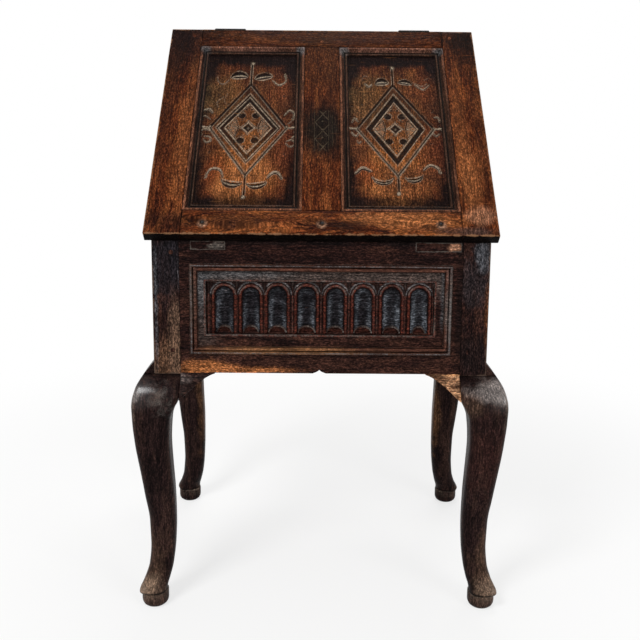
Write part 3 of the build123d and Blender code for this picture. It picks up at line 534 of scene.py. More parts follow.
def oak(name, timber, grain="x", lid=False, seed=0.0, swirl=0.6, box=None, edges=None, arris=None, zones=(),
        soot=0.0, soot_size=9.0, pores=0.6, rough=0.4, carved=None, bump=0.5, figure=0.6, reach=0.004, tones=(),
        shine=0.025, fleck=0.85, polish=(), crackle=()):
    """Oak finish: streaks, figure and pores, then tones and zones, some of which are painted sheen, highlights or
    shade, and soot, flecks, a dark seam round the board, rubbed edges, dirt in carved hollows, rubbed ridges and pale
    marks that are partly painted highlights, and last cracks in the wax, scratches and dents.

    Timber is its dark, main and light colour. Tones are (mark, colour, strength, raggedness); zones and crackle
    are (centre, reach, colour, strength, raggedness), in millimetres and on the lid's own axes for a lid piece."""
    colours = bpy.context.scene.biblebox_colours
    deep, body, light = timber
    material, tree = new_material("waxed_" + name)
    place = add(tree, "ShaderNodeTexCoord").outputs["Object"]
    if lid:
        place = vector(tree, "SUBTRACT", place, (0.0, LID_Y * MM, LID_Z * MM))
        place = mapped(tree, place, Rotation=(-LID_ANGLE, 0.0, 0.0))
    wood = use(tree, "Oak grain", Place=mapped(tree, place, Rotation=GRAIN_TURNS[grain]), Seed=seed, Swirl=swirl)

    def streaky(tone, dark, pale):
        """A tone that is darker and lighter along the streaks."""
        return tint(tree, rise(tree, wood["Streaks"], 0.38, 0.62), times(tone, dark), times(tone, pale))

    base = tint(tree, rise(tree, wood["Streaks"], 0.38, 0.58), deep, body)
    base = tint(tree, calc(tree, "MULTIPLY", rise(tree, wood["Figure"], 0.46, 0.66), figure), base, light)
    base = tint(tree, calc(tree, "MULTIPLY", rise(tree, wood["Figure"], 0.48, 0.32), 0.6), base, deep)
    base = tint(tree, calc(tree, "MULTIPLY", wood["Pores"], pores), base, times(deep, 0.3))
    gloss = rise(tree, wood["Figure"], 0.3, 0.7, rough - 0.07, rough + 0.09)
    height = wood["Relief"]
    cloud = calc(tree, "SUBTRACT", noise(tree, place, 55.0, 5.0, 0.62), 0.5)
    for name_of_mark, tone, strength, ragged in tones:
        share = calc(tree, "MULTIPLY_ADD", cloud, ragged, mark(tree, name_of_mark))
        base = tint(tree, rise(tree, share, 0.1, 0.9, 0.0, strength), base, streaky(tone, 0.5, 1.35))
    for centre, size, tone, strength, ragged in near(zones, box) if box else zones:
        base = tint(tree, zone_mask(tree, place, centre, size, strength, ragged), base, streaky(tone, 0.55, 1.3))
    if soot:
        mask = use(tree, "Oak patina", Place=place, Seed=seed + 3.1, Size=soot_size, Level=0.5, Soft=0.16)["Mask"]
        base = tint(tree, calc(tree, "MULTIPLY", mask, soot), base, colours.soot)
        gloss = calc(tree, "MULTIPLY_ADD", mask, -0.05, gloss)
    for low, high, share, tone in ((0.50, 0.66, 1.0, BRIGHT_FLECK), (0.50, 0.36, 0.75, DARK_FLECK)):
        mask = rise(tree, wood["Fleck"], low, high, 0.0, fleck * share)
        base = tint(tree, mask, base, tint(tree, 1.0, base, tone, "MULTIPLY"))
    if box:
        mask = arris_mask(tree, place, box, SEAM_REACH)
        base = tint(tree, rise(tree, mask, 0.1, 0.6, 0.0, 0.8), base, times(colours.soot, 0.5))
    if arris:
        mask = arris_mask(tree, place, edges or box, reach)
        if lid:
            up = add(tree, "ShaderNodeSeparateXYZ", {0: place}).outputs[2]
            mask = calc(tree, "MULTIPLY", mask, rise(tree, up, 0.012, 0.018))
        base = tint(tree, rise(tree, mask, 0.1, 0.85, 0.0, 0.7), base, arris)
    if carved:
        dirt, rub_and_highlight = carved
        speck = noise(tree, place, 330.0, 3.0, 0.75)
        mask = calc(tree, "MULTIPLY", mark(tree, "hollow"), rise(tree, speck, 0.25, 0.5, 0.8, 1.0))
        grime = tint(tree, rise(tree, speck, 0.46, 0.68), times(dirt, 0.25), dirt)
        base = tint(tree, calc(tree, "MULTIPLY", mask, 0.95), base, grime)
        # Ridges take the light colour: rubbed crests, and on the front arcade painted highlights on bead crests and
        # tongue rims
        mask = calc(tree, "MULTIPLY", mark(tree, "ridge"), rise(tree, cloud, -0.10, 0.08, 0.3, 1.0))
        base = tint(tree, calc(tree, "MULTIPLY", mask, rise(tree, speck, 0.40, 0.60, 0.1, 1.0)), base, rub_and_highlight)
        # Pale marks take it too: rubbed rims, and painted highlights on the lit edges of cuts
        mask = calc(tree, "MULTIPLY", mark(tree, "pale"), rise(tree, speck, 0.40, 0.62, 0.25, 1.0))
        base = tint(tree, mask, base, rub_and_highlight)
    for centre, size, line, strength, ragged in crackle:
        bent = vector(tree, "ADD", place, wood["Streaks"])
        cells = add(tree, "ShaderNodeTexVoronoi", {"Vector": mapped(tree, bent, Scale=(150.0, 150.0, 90.0)),
                                                   "Scale": 1.0}, feature="DISTANCE_TO_EDGE").outputs[0]
        mask = zone_mask(tree, place, centre, size, strength, ragged)
        base = tint(tree, calc(tree, "MULTIPLY", mask, rise(tree, cells, 0.01, 0.08, 1.0, 0.0)), base, line)
    scratch = mapped(tree, place, Rotation=(0.3, 0.9, 0.6), Scale=(14.0, 700.0, 90.0))
    scratch = rise(tree, noise(tree, scratch, 1.0, 2.0, 0.5), 0.70, 0.78)
    base = tint(tree, calc(tree, "MULTIPLY", scratch, 0.3), base, times(light, 2.2))
    height = calc(tree, "MULTIPLY_ADD", scratch, -0.5, height)
    height = calc(tree, "MULTIPLY_ADD", noise(tree, place, 130.0, 3.0, 0.5), 1.3, height)
    relief = add(tree, "ShaderNodeBump", {"Height": height, "Strength": bump, "Distance": 0.0005}).outputs[0]
    shader = add(tree, "ShaderNodeBsdfPrincipled", {"Base Color": base, "Roughness": gloss, "Normal": relief,
                                                    "Specular IOR Level": shine, "Coat Roughness": 0.24})
    for spot in polish:
        tree.links.new(zone_mask(tree, place, *spot), shader.inputs["Coat Weight"])
    show(tree, shader)
    return material


def shades(timber):
    """Dark, main and light colour of a timber: lid, panel, case or leg."""
    colours = bpy.context.scene.biblebox_colours
    return tuple(getattr(colours, timber + part) for part in ("_deep", "_body", "_light"))


# Carving

def rhombus(p, q, width, height):
    """Distance from the edge of a rhombus, positive outside: (|p| / a + |q| / b - 1) a b / sqrt(a a + b b)."""
    return (np.abs(p) / width + np.abs(q) / height - 1) * width * height / math.hypot(width, height)


def gouge(distance, width, depth):
    """Depth of a rounded cut: depth times 1 - (2 d / width) squared, none outside its width."""
    return depth * np.clip(1 - (2 * distance / width) ** 2, 0, None)


def bowl(p, q, centre, radius, depth):
    """Depth of a round hollow: a parabola about its centre."""
    return depth * np.clip(1 - ((p - centre[0]) ** 2 + (q - centre[1]) ** 2) / radius ** 2, 0, None)


def line_distance(p, q, start, end):
    """Distance from a straight cut between two points."""
    run = np.array(end, dtype=float) - np.array(start, dtype=float)
    share = np.clip(((p - start[0]) * run[0] + (q - start[1]) * run[1]) / (run @ run), 0, 1)
    return np.hypot(p - start[0] - share * run[0], q - start[1] - share * run[1])


def smooth_line(places, count=22):
    """Points and shares along a curve through the given places: cubic pieces with slopes from their neighbours."""
    places = np.array(places, dtype=float)
    ends = np.vstack([2 * places[0] - places[1], places, 2 * places[-1] - places[-2]])
    along = np.linspace(0, len(places) - 1, count)
    piece = np.minimum(along.astype(int), len(places) - 2)
    t = (along - piece)[:, None]
    before, here, there, after = (ends[piece + shift] for shift in range(4))
    curve = 0.5 * (2 * here + (there - before) * t + (2 * before - 5 * here + 4 * there - after) * t ** 2
                   + (3 * here - before - 3 * there + after) * t ** 3)
    return curve, along / along[-1]


def stroke(p, q, places, width, depth):
    """A gouge cut along a smooth line, widest in its middle: depth times 1 - (distance / half width) squared,
    where the half width follows 0.25 + 0.75 times the root of the sine of half a turn."""
    curve, share = smooth_line(places)
    half = width / 2 * (0.25 + 0.75 * np.sqrt(np.sin(math.pi * share)))
    nearest = np.full(np.broadcast(p, q).shape, 9.0)
    for start, end, wide in zip(curve[:-1], curve[1:], (half[:-1] + half[1:]) / 2):
        nearest = np.minimum(nearest, line_distance(p, q, start, end) / wide)
    return depth * np.clip(1 - nearest ** 2, 0, None)


def moon(p, q, start, end, outer, inner, depth):
    """A crescent between two curves over the chord from start to end, each its bulge times (1 - t t) ** 0.55
    where t runs from -1 to 1 along the chord; the cut falls from the inner curve to its full depth at the outer."""
    start, end = np.array(start, dtype=float), np.array(end, dtype=float)
    chord = end - start
    length = np.hypot(*chord)
    ahead, side = chord / length, np.array([-chord[1], chord[0]]) / length
    t = 2 * ((p - start[0]) * ahead[0] + (q - start[1]) * ahead[1]) / length - 1
    off = (p - start[0]) * side[0] + (q - start[1]) * side[1]
    arch = np.clip(1 - t * t, 0, None) ** 0.55
    share = (off - inner * arch) / ((outer - inner) * arch + 0.001 * np.sign(outer - inner))
    rim = smooth_step(share, 0.0, 0.16) * (1 - smooth_step(share, 0.92, 1.04))
    return depth * (arch > 0) * rim * (0.35 + 0.65 * np.clip(share, 0, 1))


# Cuts at listed places in millimetres from the middle of the lozenge.
# Strokes: places along the stroke, width, depth
STROKES = {
    "left": [
        ([(42, 127), (55, 114), (68, 124), (67, 145)], 5.0, 1.7),
        ([(-42, 131), (-54, 115), (-66, 124), (-66, 141)], 3.4, 0.8),
        ([(68, 32), (78, 45), (87, 37), (84, 20)], 5.0, 1.8), ([(84, 20), (78, 12), (71, 10)], 2.6, 0.8),
        ([(88, -8), (92, -18), (84, -26)], 4.4, 1.7),
        ([(72, -39), (81, -48), (91, -40), (84, -31), (74, -34)], 3.6, 1.5),
        ([(-87, 44), (-78, 48), (-70, 37)], 4.6, 1.6), ([(-88, 30), (-80, 27), (-74, 20)], 3.2, 1.2),
        ([(-90, -10), (-82, -5), (-74, -8)], 4.2, 1.6), ([(-90, -12), (-88, -22)], 4.0, 1.4),
        ([(-82, -24), (-72, -25), (-69, -33), (-77, -38), (-83, -31)], 3.6, 1.6),
        ([(-72, -126), (-67, -108), (-55, -102), (-44, -110), (-41, -124)], 5.6, 2.0),
        ([(41, -124), (51, -112), (60, -113), (68, -126)], 7.0, 2.2), ([(-52, 80), (-64, 66), (-60, 52)], 2.4, 0.7),
        ([(-44, 92), (-50, 70), (-42, 58)], 2.0, 0.6)],
    "right": [
        ([(43, 118), (59, 105), (73, 118)], 4.4, 1.6), ([(40, 124), (58, 114), (70, 124)], 2.6, 1.0),
        ([(-56, 121), (-48, 112), (-41, 119)], 4.4, 1.6), ([(-62, 128), (-56, 142), (-46, 138)], 2.2, 0.6),
        ([(-83, 16), (-77, 27), (-71, 17)], 4.0, 1.5), ([(-84, -10), (-76, -20), (-70, -12)], 3.8, 1.4),
        ([(-74, -30), (-70, -38), (-66, -32)], 3.4, 1.3), ([(76, 30), (84, 30), (86, 18)], 3.8, 1.5),
        ([(70, -8), (76, -18), (83, -12)], 3.8, 1.5), ([(-78, -112), (-66, -99), (-50, -106)], 8.4, 2.0),
        ([(47, -103), (60, -91), (74, -98), (78, -110)], 6.0, 2.0), ([(62, 130), (72, 138)], 2.2, 0.6)],
}
# Moons: both ends of the chord, bulge of the outer and of the inner curve
MOONS = {
    "left": [((-41, 133), (-7, 136), 18, -3), ((8, 131), (42, 139), 14, -6), ((-43, -125), (-3, -132), -19, -4),
             ((2, -135), (40, -129), -18, -4)],
    "right": [((-35, 119), (-8, 121), 17, -3), ((10, 123), (38, 118), 13, -2), ((-48, -115), (-8, -118), -22, -12),
              ((11, -118), (45, -111), -18, -7)],
}
# Nicks: their middles
NICKS = {
    "left": [(-70, -62), (92, -2), (-62, 88), (66, 86), (88, 58), (70, -66), (84, 8), (-88, 20)],
    "right": [(-66, 43), (72, 46), (66, -36), (-82, 60), (88, -6), (-62, 66), (84, 8)],
}
# Inner channel: shares of its half width and half height, and how wide its band is
CHANNELS = {"left": (1.0, 1.0, 13.6), "right": (0.9, 1.02, 11.0)}
# End of the upper stem above the middle of the lozenge
STEM_TOPS = {"left": 176, "right": 166}


def carved_depth(p, q, side):
    """Carving about the middle of a lozenge: its depth; where it is pale, as rubbed wood and as painted highlights on
    lit edges; where it is dim; and where it is worn clean.

    Star: 1 - (|p| / a) ** 0.85 - (|q| / b) ** 0.85 is positive inside it."""
    carving = bpy.context.scene.biblebox_carving
    line, deep = carving.groove_depth / MM, carving.channel_depth / MM
    # Outer line of the lozenge: a painted highlight along its lower half, and a fainter pale line all round inside it
    outer = rhombus(p, q, carving.lozenge_width / MM, carving.lozenge_height / MM)
    depth = gouge(outer + 1.8, 7.4, line)
    pale = 0.9 * np.exp(-((outer + 0.4) / 1.1) ** 2) * (q < 6) + 0.45 * np.exp(-((outer + 4.6) / 0.9) ** 2)
    # Inner channel with its fillet, and the step inside it
    across, along, band = CHANNELS[side]
    channel = rhombus(p, q, across * carving.channel_width / MM, along * carving.channel_height / MM)
    trench = smooth_step(-channel, 0.0, 1.6) * smooth_step(channel + band, 0.0, 1.8)
    fillet = np.sqrt(np.clip(1 - ((channel + 4.6) / 1.5) ** 2, 0, None)) * (side == "left")
    depth += deep * trench - 1.5 * fillet
    pale = np.maximum(pale, 0.5 * fillet)
    pale = np.maximum(pale, 0.5 * np.exp(-((channel - 0.6) / 0.9) ** 2))
    pale = np.maximum(pale, 0.75 * np.exp(-((channel + band + 0.7) / 0.9) ** 2))
    inner = smooth_step(-channel - band, 1.6, 2.4) * (1 - smooth_step(-channel - band, 2.8, 3.8))
    depth += 1.3 * inner
    # Star with raised rays in a sunk middle
    star = 1 - (np.abs(p) / 15.5) ** 0.85 - (np.abs(q) / 18.0) ** 0.85
    rays = smooth_step(star, 0.0, 0.06) - smooth_step(star, 0.20, 0.28)
    depth += 1.6 * smooth_step(star, -0.10, -0.02) - 1.0 * rays + 0.8 * smooth_step(star, 0.28, 0.5)
    pale = np.maximum(pale, 0.8 * rays + 0.35 * smooth_step(star, 0.7, 0.8))
    # Pits, short cuts and dots round the star
    for step_p, step_q in CORNERS:
        pit = np.hypot((p - step_p * 13.5), (q - step_q * 32.0) * 0.94)
        depth += 2.4 * smooth_step(7.8 - pit, 0.0, 1.4)
        depth += gouge(line_distance(p, q, (step_p * 5, step_q * 21), (step_p * 17, step_q * 20)), 2.6, 1.1)
        depth += bowl(p, q, (step_p * 5.5, step_q * 48.0), 3.0, 1.9)
    # Leaves on both sides of the star with a dart past the corner, stems above and below with a dot at the end
    top = STEM_TOPS[side]
    for step in (-1, 1):
        leaf = np.minimum((step * p - 18.0) - 0.25 * np.abs(q), 41.0 - step * p - 0.78 * np.abs(q))
        edge = np.exp(-((leaf - 0.4) / 0.9) ** 2) * (np.abs(q) < 22)
        rib = np.exp(-((np.abs(q) - 0.32 * (step * p - 17)) / 0.9) ** 2) * (leaf > 0.4)
        depth += 1.7 * np.maximum(edge, 0.8 * rib) + 0.5 * smooth_step(leaf, 0.4, 1.4)
        pale = np.maximum(pale, 0.26 * smooth_step(leaf, 1.4, 2.6))
        depth += bowl(p, q, (0, step * 55.0), 3.0, 1.8)
        depth += gouge(line_distance(p, q, (step * 76, -1), (step * 92, 0)), 4.0, 1.7)
        pale = np.maximum(pale, 0.9 * (line_distance(p, q, (step * 77, 1), (step * 92, 2)) < 1.3))
        tip = top - 4 if step > 0 else top - 14
        depth += gouge(line_distance(p, q, (0, step * 114), (0, step * tip)), 4.2, 1.8)
        # A pale line along the right side of each stem: a painted highlight
        pale = np.maximum(pale, 0.3 * (line_distance(p, q, (2.3, step * 124), (2.3, step * tip)) < 0.8))
    for place, radius in (((1, top), 5.0), ((-1, 8 - top), 5.6)):
        depth += bowl(p, q, place, radius, 2.4)
        # A pale spot in each dot, a little above its middle: a painted highlight
        pale = np.maximum(pale, 0.95 * (np.hypot(p - place[0], q - place[1] - 0.8) < radius - 2.0))
    # Loose cuts round the lozenge, their lower edges made pale as a painted highlight
    for places, width, cut in STROKES[side]:
        depth = np.maximum(depth, stroke(p, q, places, width, cut * 1.2))
        lit = smooth_step(stroke(p, q - width * 0.36, places, width * 0.46, 1.0), 0.0, 0.6)
        pale = np.maximum(pale, min(1.0, 0.1 + cut / 2.0) * lit)
    # Crescents, each with two pale arcs inside it as painted highlights
    for start, end, high, low in MOONS[side]:
        depth = np.maximum(depth, moon(p, q, start, end, high, low, 2.9))
        for far, close in ((low + 0.56 * (high - low), low + 0.36 * (high - low)),
                           (low + 0.05 * (high - low), low - 0.11 * (high - low))):
            pale = np.maximum(pale, 0.95 * smooth_step(moon(p, q, start, end, far, close, 1.0), 0.05, 0.3))
    for place in NICKS[side]:
        depth += bowl(p, q, place, 3.0, 1.5)
    dim = 0.2 * (channel < -band - 0.9) + 0.55 * ((outer < -4.0) & (channel > 0.8)) * smooth_step(q, -12, 26)
    return depth, np.clip(pale, 0, 1), dim, 0.2 * trench * smooth_step(-q, -20, 30) * (side == "left")


class BIBLEBOX_OT_lid_panels(bpy.types.Operator):
    """Carve the two panels of the lid"""
    bl_idname = "biblebox.lid_panels"
    bl_label = "Lid panels"

    def execute(self, context):
        carving, colours = context.scene.biblebox_carving, context.scene.biblebox_colours
        step = carving.grid / MM
        for side, sign in (("left", -1), ("right", 1)):
            middle_u, middle_v = sign * OPENING_MIDDLE[0], OPENING_MIDDLE[1]
            half_u = (OPENING_U[1] - OPENING_U[0]) / 2 - 0.6
            half_v = (OPENING_V[1] - OPENING_V[0]) / 2 - 0.6
            u = np.linspace(middle_u - half_u, middle_u + half_u, int(2 * half_u / step) + 1)[None, :]
            v = np.linspace(middle_v - half_v, middle_v + half_v, int(2 * half_v / step) + 1)[:, None]
            depth, pale, dim, worn = carved_depth(u - middle_u, v - middle_v + carving.lozenge_drop / MM, side)
            hollow = np.maximum(smooth_step(depth, 0.5, 1.5) * (1 - worn), dim)
            depth = depth + 0.16 * soft_noise(depth.shape, 26.0, 5 + sign) + 0.05 * soft_noise(depth.shape, 3.0, 8)
            height = LID_THICKNESS - PANEL_RECESS - 0.15 - depth
            spots = [((middle_u + off_u, middle_v + off_v, 13), (reach_u, reach_v, 60), *rest)
                     for off_u, off_v, reach_u, reach_v, *rest in self.spots(colours, sign)]
            named = [("ember", (0.052, 0.015, 0.007), 0.75, 0.9), ("soot", colours.soot, 0.97, 1.1)]
            material = oak("oak_lid_panel_" + side, shades("panel"), grain="y", lid=True, seed=2.0 + sign, zones=spots,
                           soot=0.42, soot_size=20.0, shine=0.014, tones=named, fleck=0.95,
                           carved=((0.017, 0.014, 0.0125), (0.36, 0.28, 0.20)))
            border = np.minimum(half_u - np.abs(u - middle_u), half_v - np.abs(v - middle_v))
            upper = smooth_step(v, middle_v + half_v - 110, middle_v + half_v)
            border = border + 4 * soft_noise(depth.shape, 44.0, 15 + sign) - 28 * upper
            border = border - 12 * smooth_step(middle_v - v, half_v - 70, half_v)
            tones = {"soot": 1 - smooth_step(border, 8.0, 56.0), "ember": 1 - smooth_step(border, 26.0, 74.0),
                     "pale": pale, "hollow": hollow}
            relief_piece("lid_panel_carved_" + side, lid_points(u, v, height),
                         lambda points: lid_back(points, PANEL_BACK), material, "lid", ["lid_panel_" + side],
                         -depth, tones)
        return {"FINISHED"}

    def spots(self, colours, sign):
        """Spots of colour on a panel: place from its middle, reach, colour, strength, raggedness."""
        rust = (0.115, 0.026, 0.009)
        return ((0, -60, 88, 165, colours.panel_light, 0.34, 0.4),
                (12, -118, 60, 50, colours.honey, 0.32 - 0.13 * sign, 0.5),
                (-20, -150, 50, 26, colours.honey, 0.35, 0.4),
                (52, 96, 36, 46, rust, 0.5, 0.4),
                (62, -50, 40, 100, (0.055, 0.014, 0.007), 0.65, 0.6),
                (-66, -30, 34, 90, (0.060, 0.020, 0.009), 0.58 + 0.12 * sign, 0.6),
                (sign * 14, -130, 70, 40, (0.085, 0.030, 0.014), 0.25 + 0.25 * sign, 0.6),
                (-56, -110, 28, 40, rust, 0.5, 0.4),
                (0, 128, 90, 44, (0.018, 0.007, 0.005), 0.6, 0.4),
                (-50, 70, 50, 80, (0.075, 0.048, 0.02), 0.55, 0.4),
                (20, 60, 110, 96, (0.05, 0.019, 0.009), 0.6, 0.5))


def round_points(centre, radius, first, last, count):
    """Points on an arc between two angles in degrees."""
    angle = np.radians(np.linspace(first, last, count))
    return [(centre[0] + radius * math.cos(a), centre[1] + radius * math.sin(a)) for a in angle]


def mitred_strip(profile, run, seed):
    """Profile carried along a strip whose ends follow x = run / 2 - distance in, as a mitre; gives (x, in, up)."""
    share = np.linspace(-1, 1, max(8, int(run / 6)))[:, None]
    inward, up = profile[:, 0][None, :], profile[:, 1][None, :]
    sway = soft_noise((share.shape[0], 6), 5.0, seed)
    reach = share * (run / 2 - inward)
    worn = np.where(up > profile[:, 1].max() * 0.6, 0.22, 0.0) * sway[:, :1]
    return np.stack(np.broadcast_arrays(reach, inward, up + worn), axis=-1)


def frame_strips(profile, width, height, seed):
    """Strips of a mitred frame round the middle of its opening: bottom, right, top and left."""
    strips = []
    for number, (run, reach) in enumerate(((width, height), (height, width), (width, height), (height, width))):
        local = mitred_strip(profile, run, seed + number)
        x, y = local[..., 0], local[..., 1] - reach / 2
        turn = number * math.pi / 2
        strips.append(np.stack([x * math.cos(turn) - y * math.sin(turn), x * math.sin(turn) + y * math.cos(turn),
                                local[..., 2]], axis=-1))
    return strips


def edge_marks(strips, **parts):
    """Marks that follow the profile of a strip: each part's share at every point of the profile, along the strip."""
    return {part: np.concatenate([np.tile(share, strip.shape[0]) for strip in strips]) for part, share in parts.items()}


class BIBLEBOX_OT_lid_mouldings(bpy.types.Operator):
    """Run the mitred mouldings round the lid panels"""
    bl_idname = "biblebox.lid_mouldings"
    bl_label = "Lid mouldings"

    def execute(self, context):
        shape = [(0.0, 8.4), (0.5, 8.9), (3.6, 8.9), (4.4, 8.3), (4.7, 7.2)]
        shape += round_points((12.0, 9.4), 6.6, 200, 262, 6)
        shape += [(11.6, 2.2)] + round_points((13.8, 1.9), 1.9, 170, 20, 7) + [(16.3, 0.7), (17.0, 0.5)]
        profile = np.array([(0.0, 0.0)] + shape + [(17.0, 0.0)])
        a, b = profile.T
        parts = {"ridge": 0.8 * ((a > 13.0) & (a < 14.9) & (b > 3.2)),
                 "hollow": 1.0 * ((a > 8.5) & (a < 12.2) | (a > 16.2)),
                 "band": 1.0 * ((a > 0.2) & (a < 4.5) & (b > 7.5))}
        width, height = OPENING_U[1] - OPENING_U[0], OPENING_V[1] - OPENING_V[0]
        band = [("band", (0.10, 0.040, 0.022), 0.9, 1.4)]
        dark = [((246, 260, 22), (20, 180, 60), (0.022, 0.010, 0.006), 0.75, 0.5)]
        dark += [((sign * 140, 472, 22), (118, 16, 60), (0.13, 0.060, 0.042), 0.6, 0.6) for sign in (-1, 1)]
        # Blue-grey spots at the upper mitres: painted sheen
        dark += [((u, 466, 22), (16, 16, 60), (0.070, 0.072, 0.075), 0.7, 1.2) for u in (-240, -41, 41, 240)]
        material = oak("oak_lid_moulding", ((0.008, 0.004, 0.003), (0.032, 0.014, 0.009), (0.075, 0.034, 0.02)),
                       grain="y", lid=True, seed=7.0, soot=0.4, soot_size=16.0, tones=band, zones=dark,
                       carved=((0.010, 0.008, 0.007), (0.095, 0.062, 0.044)))
        for side, sign in (("left", -1), ("right", 1)):
            strips = frame_strips(profile, width - 0.2, height - 0.2, 40 + 9 * sign)
            points, faces = [], []
            for strip in strips:
                faces += tube_faces(*strip.shape[:2], sum(len(part) for part in points))
                place = lid_points(strip[..., 0] + sign * OPENING_MIDDLE[0], strip[..., 1] + OPENING_MIDDLE[1],
                                   strip[..., 2] + LID_THICKNESS - PANEL_RECESS)
                points.append(place.reshape(-1, 3))
            put_in("lid_moulding_run_" + side, np.vstack(points), faces, material, "lid", ["lid_moulding_" + side],
                   edge_marks(strips, **parts), sharp=32.0)
        return {"FINISHED"}


def lid_spots():
    """Spots of colour on the frame of the lid, on its own axes; the last one paints its lower face nearly black, a
    painted shade.
    """
    colours = bpy.context.scene.biblebox_colours
    soot, honey = colours.soot, colours.honey
    brown = (0.026, 0.0095, 0.005)
    spots = [(0, 530, 420, 92, brown, 0.85, 0.25), (-320, 520, 125, 250, (0.006, 0.003, 0.003), 0.97, 0.3),
             (320, 525, 110, 170, (0.007, 0.003, 0.002), 0.97, 0.3), (-255, 215, 20, 230, honey, 0.28, 0.6),
             (-300, 330, 22, 200, brown, 0.5, 0.4), (2, 246, 66, 104, (0.006, 0.005, 0.004), 0.96, 0.25),
             (0, 440, 60, 130, (0.03, 0.012, 0.005), 0.5, 0.4), (22, 400, 24, 120, brown, 0.5, 0.4),
             (-150, 26, 95, 22, soot, 0.65, 0.6), (-275, 22, 56, 26, soot, 0.6, 0.6),
             (150, 34, 130, 26, honey, 0.72, 0.6), (-5, 26, 56, 20, soot, 0.5, 0.6), (55, 20, 34, 14, soot, 0.6, 0.5),
             (196, 16, 34, 12, soot, 0.6, 0.5), (282, 44, 36, 26, (0.25, 0.115, 0.065), 0.7, 0.5),
             (255, 8, 64, 13, (0.05, 0.028, 0.022), 0.85, 0.5), (272, 120, 26, 90, honey, 0.4, 0.5),
             (262, 230, 20, 230, honey, 0.25, 0.5), (300, 250, 18, 240, brown, 0.55, 0.5)]
    for place in (-208.5, 0, 208.5):
        spots += [(place, 22, 11, 11, (0.2, 0.11, 0.07), 1.0, 0.2),
                  (place, 25, 7.5, 7.5, (0.003, 0.002, 0.002), 1.0, 0.2)]
    # The lower face of the lid, nearly black: painted shade under its edge
    lower_face_shade = ((0, -0.6, 11), (9000, 1.9, 9000), (0.003, 0.002, 0.0018), 1.0, 0.0)
    return [((u, v, 22), (reach_u, reach_v, 60), *rest) for u, v, reach_u, reach_v, *rest in spots] + [lower_face_shade]


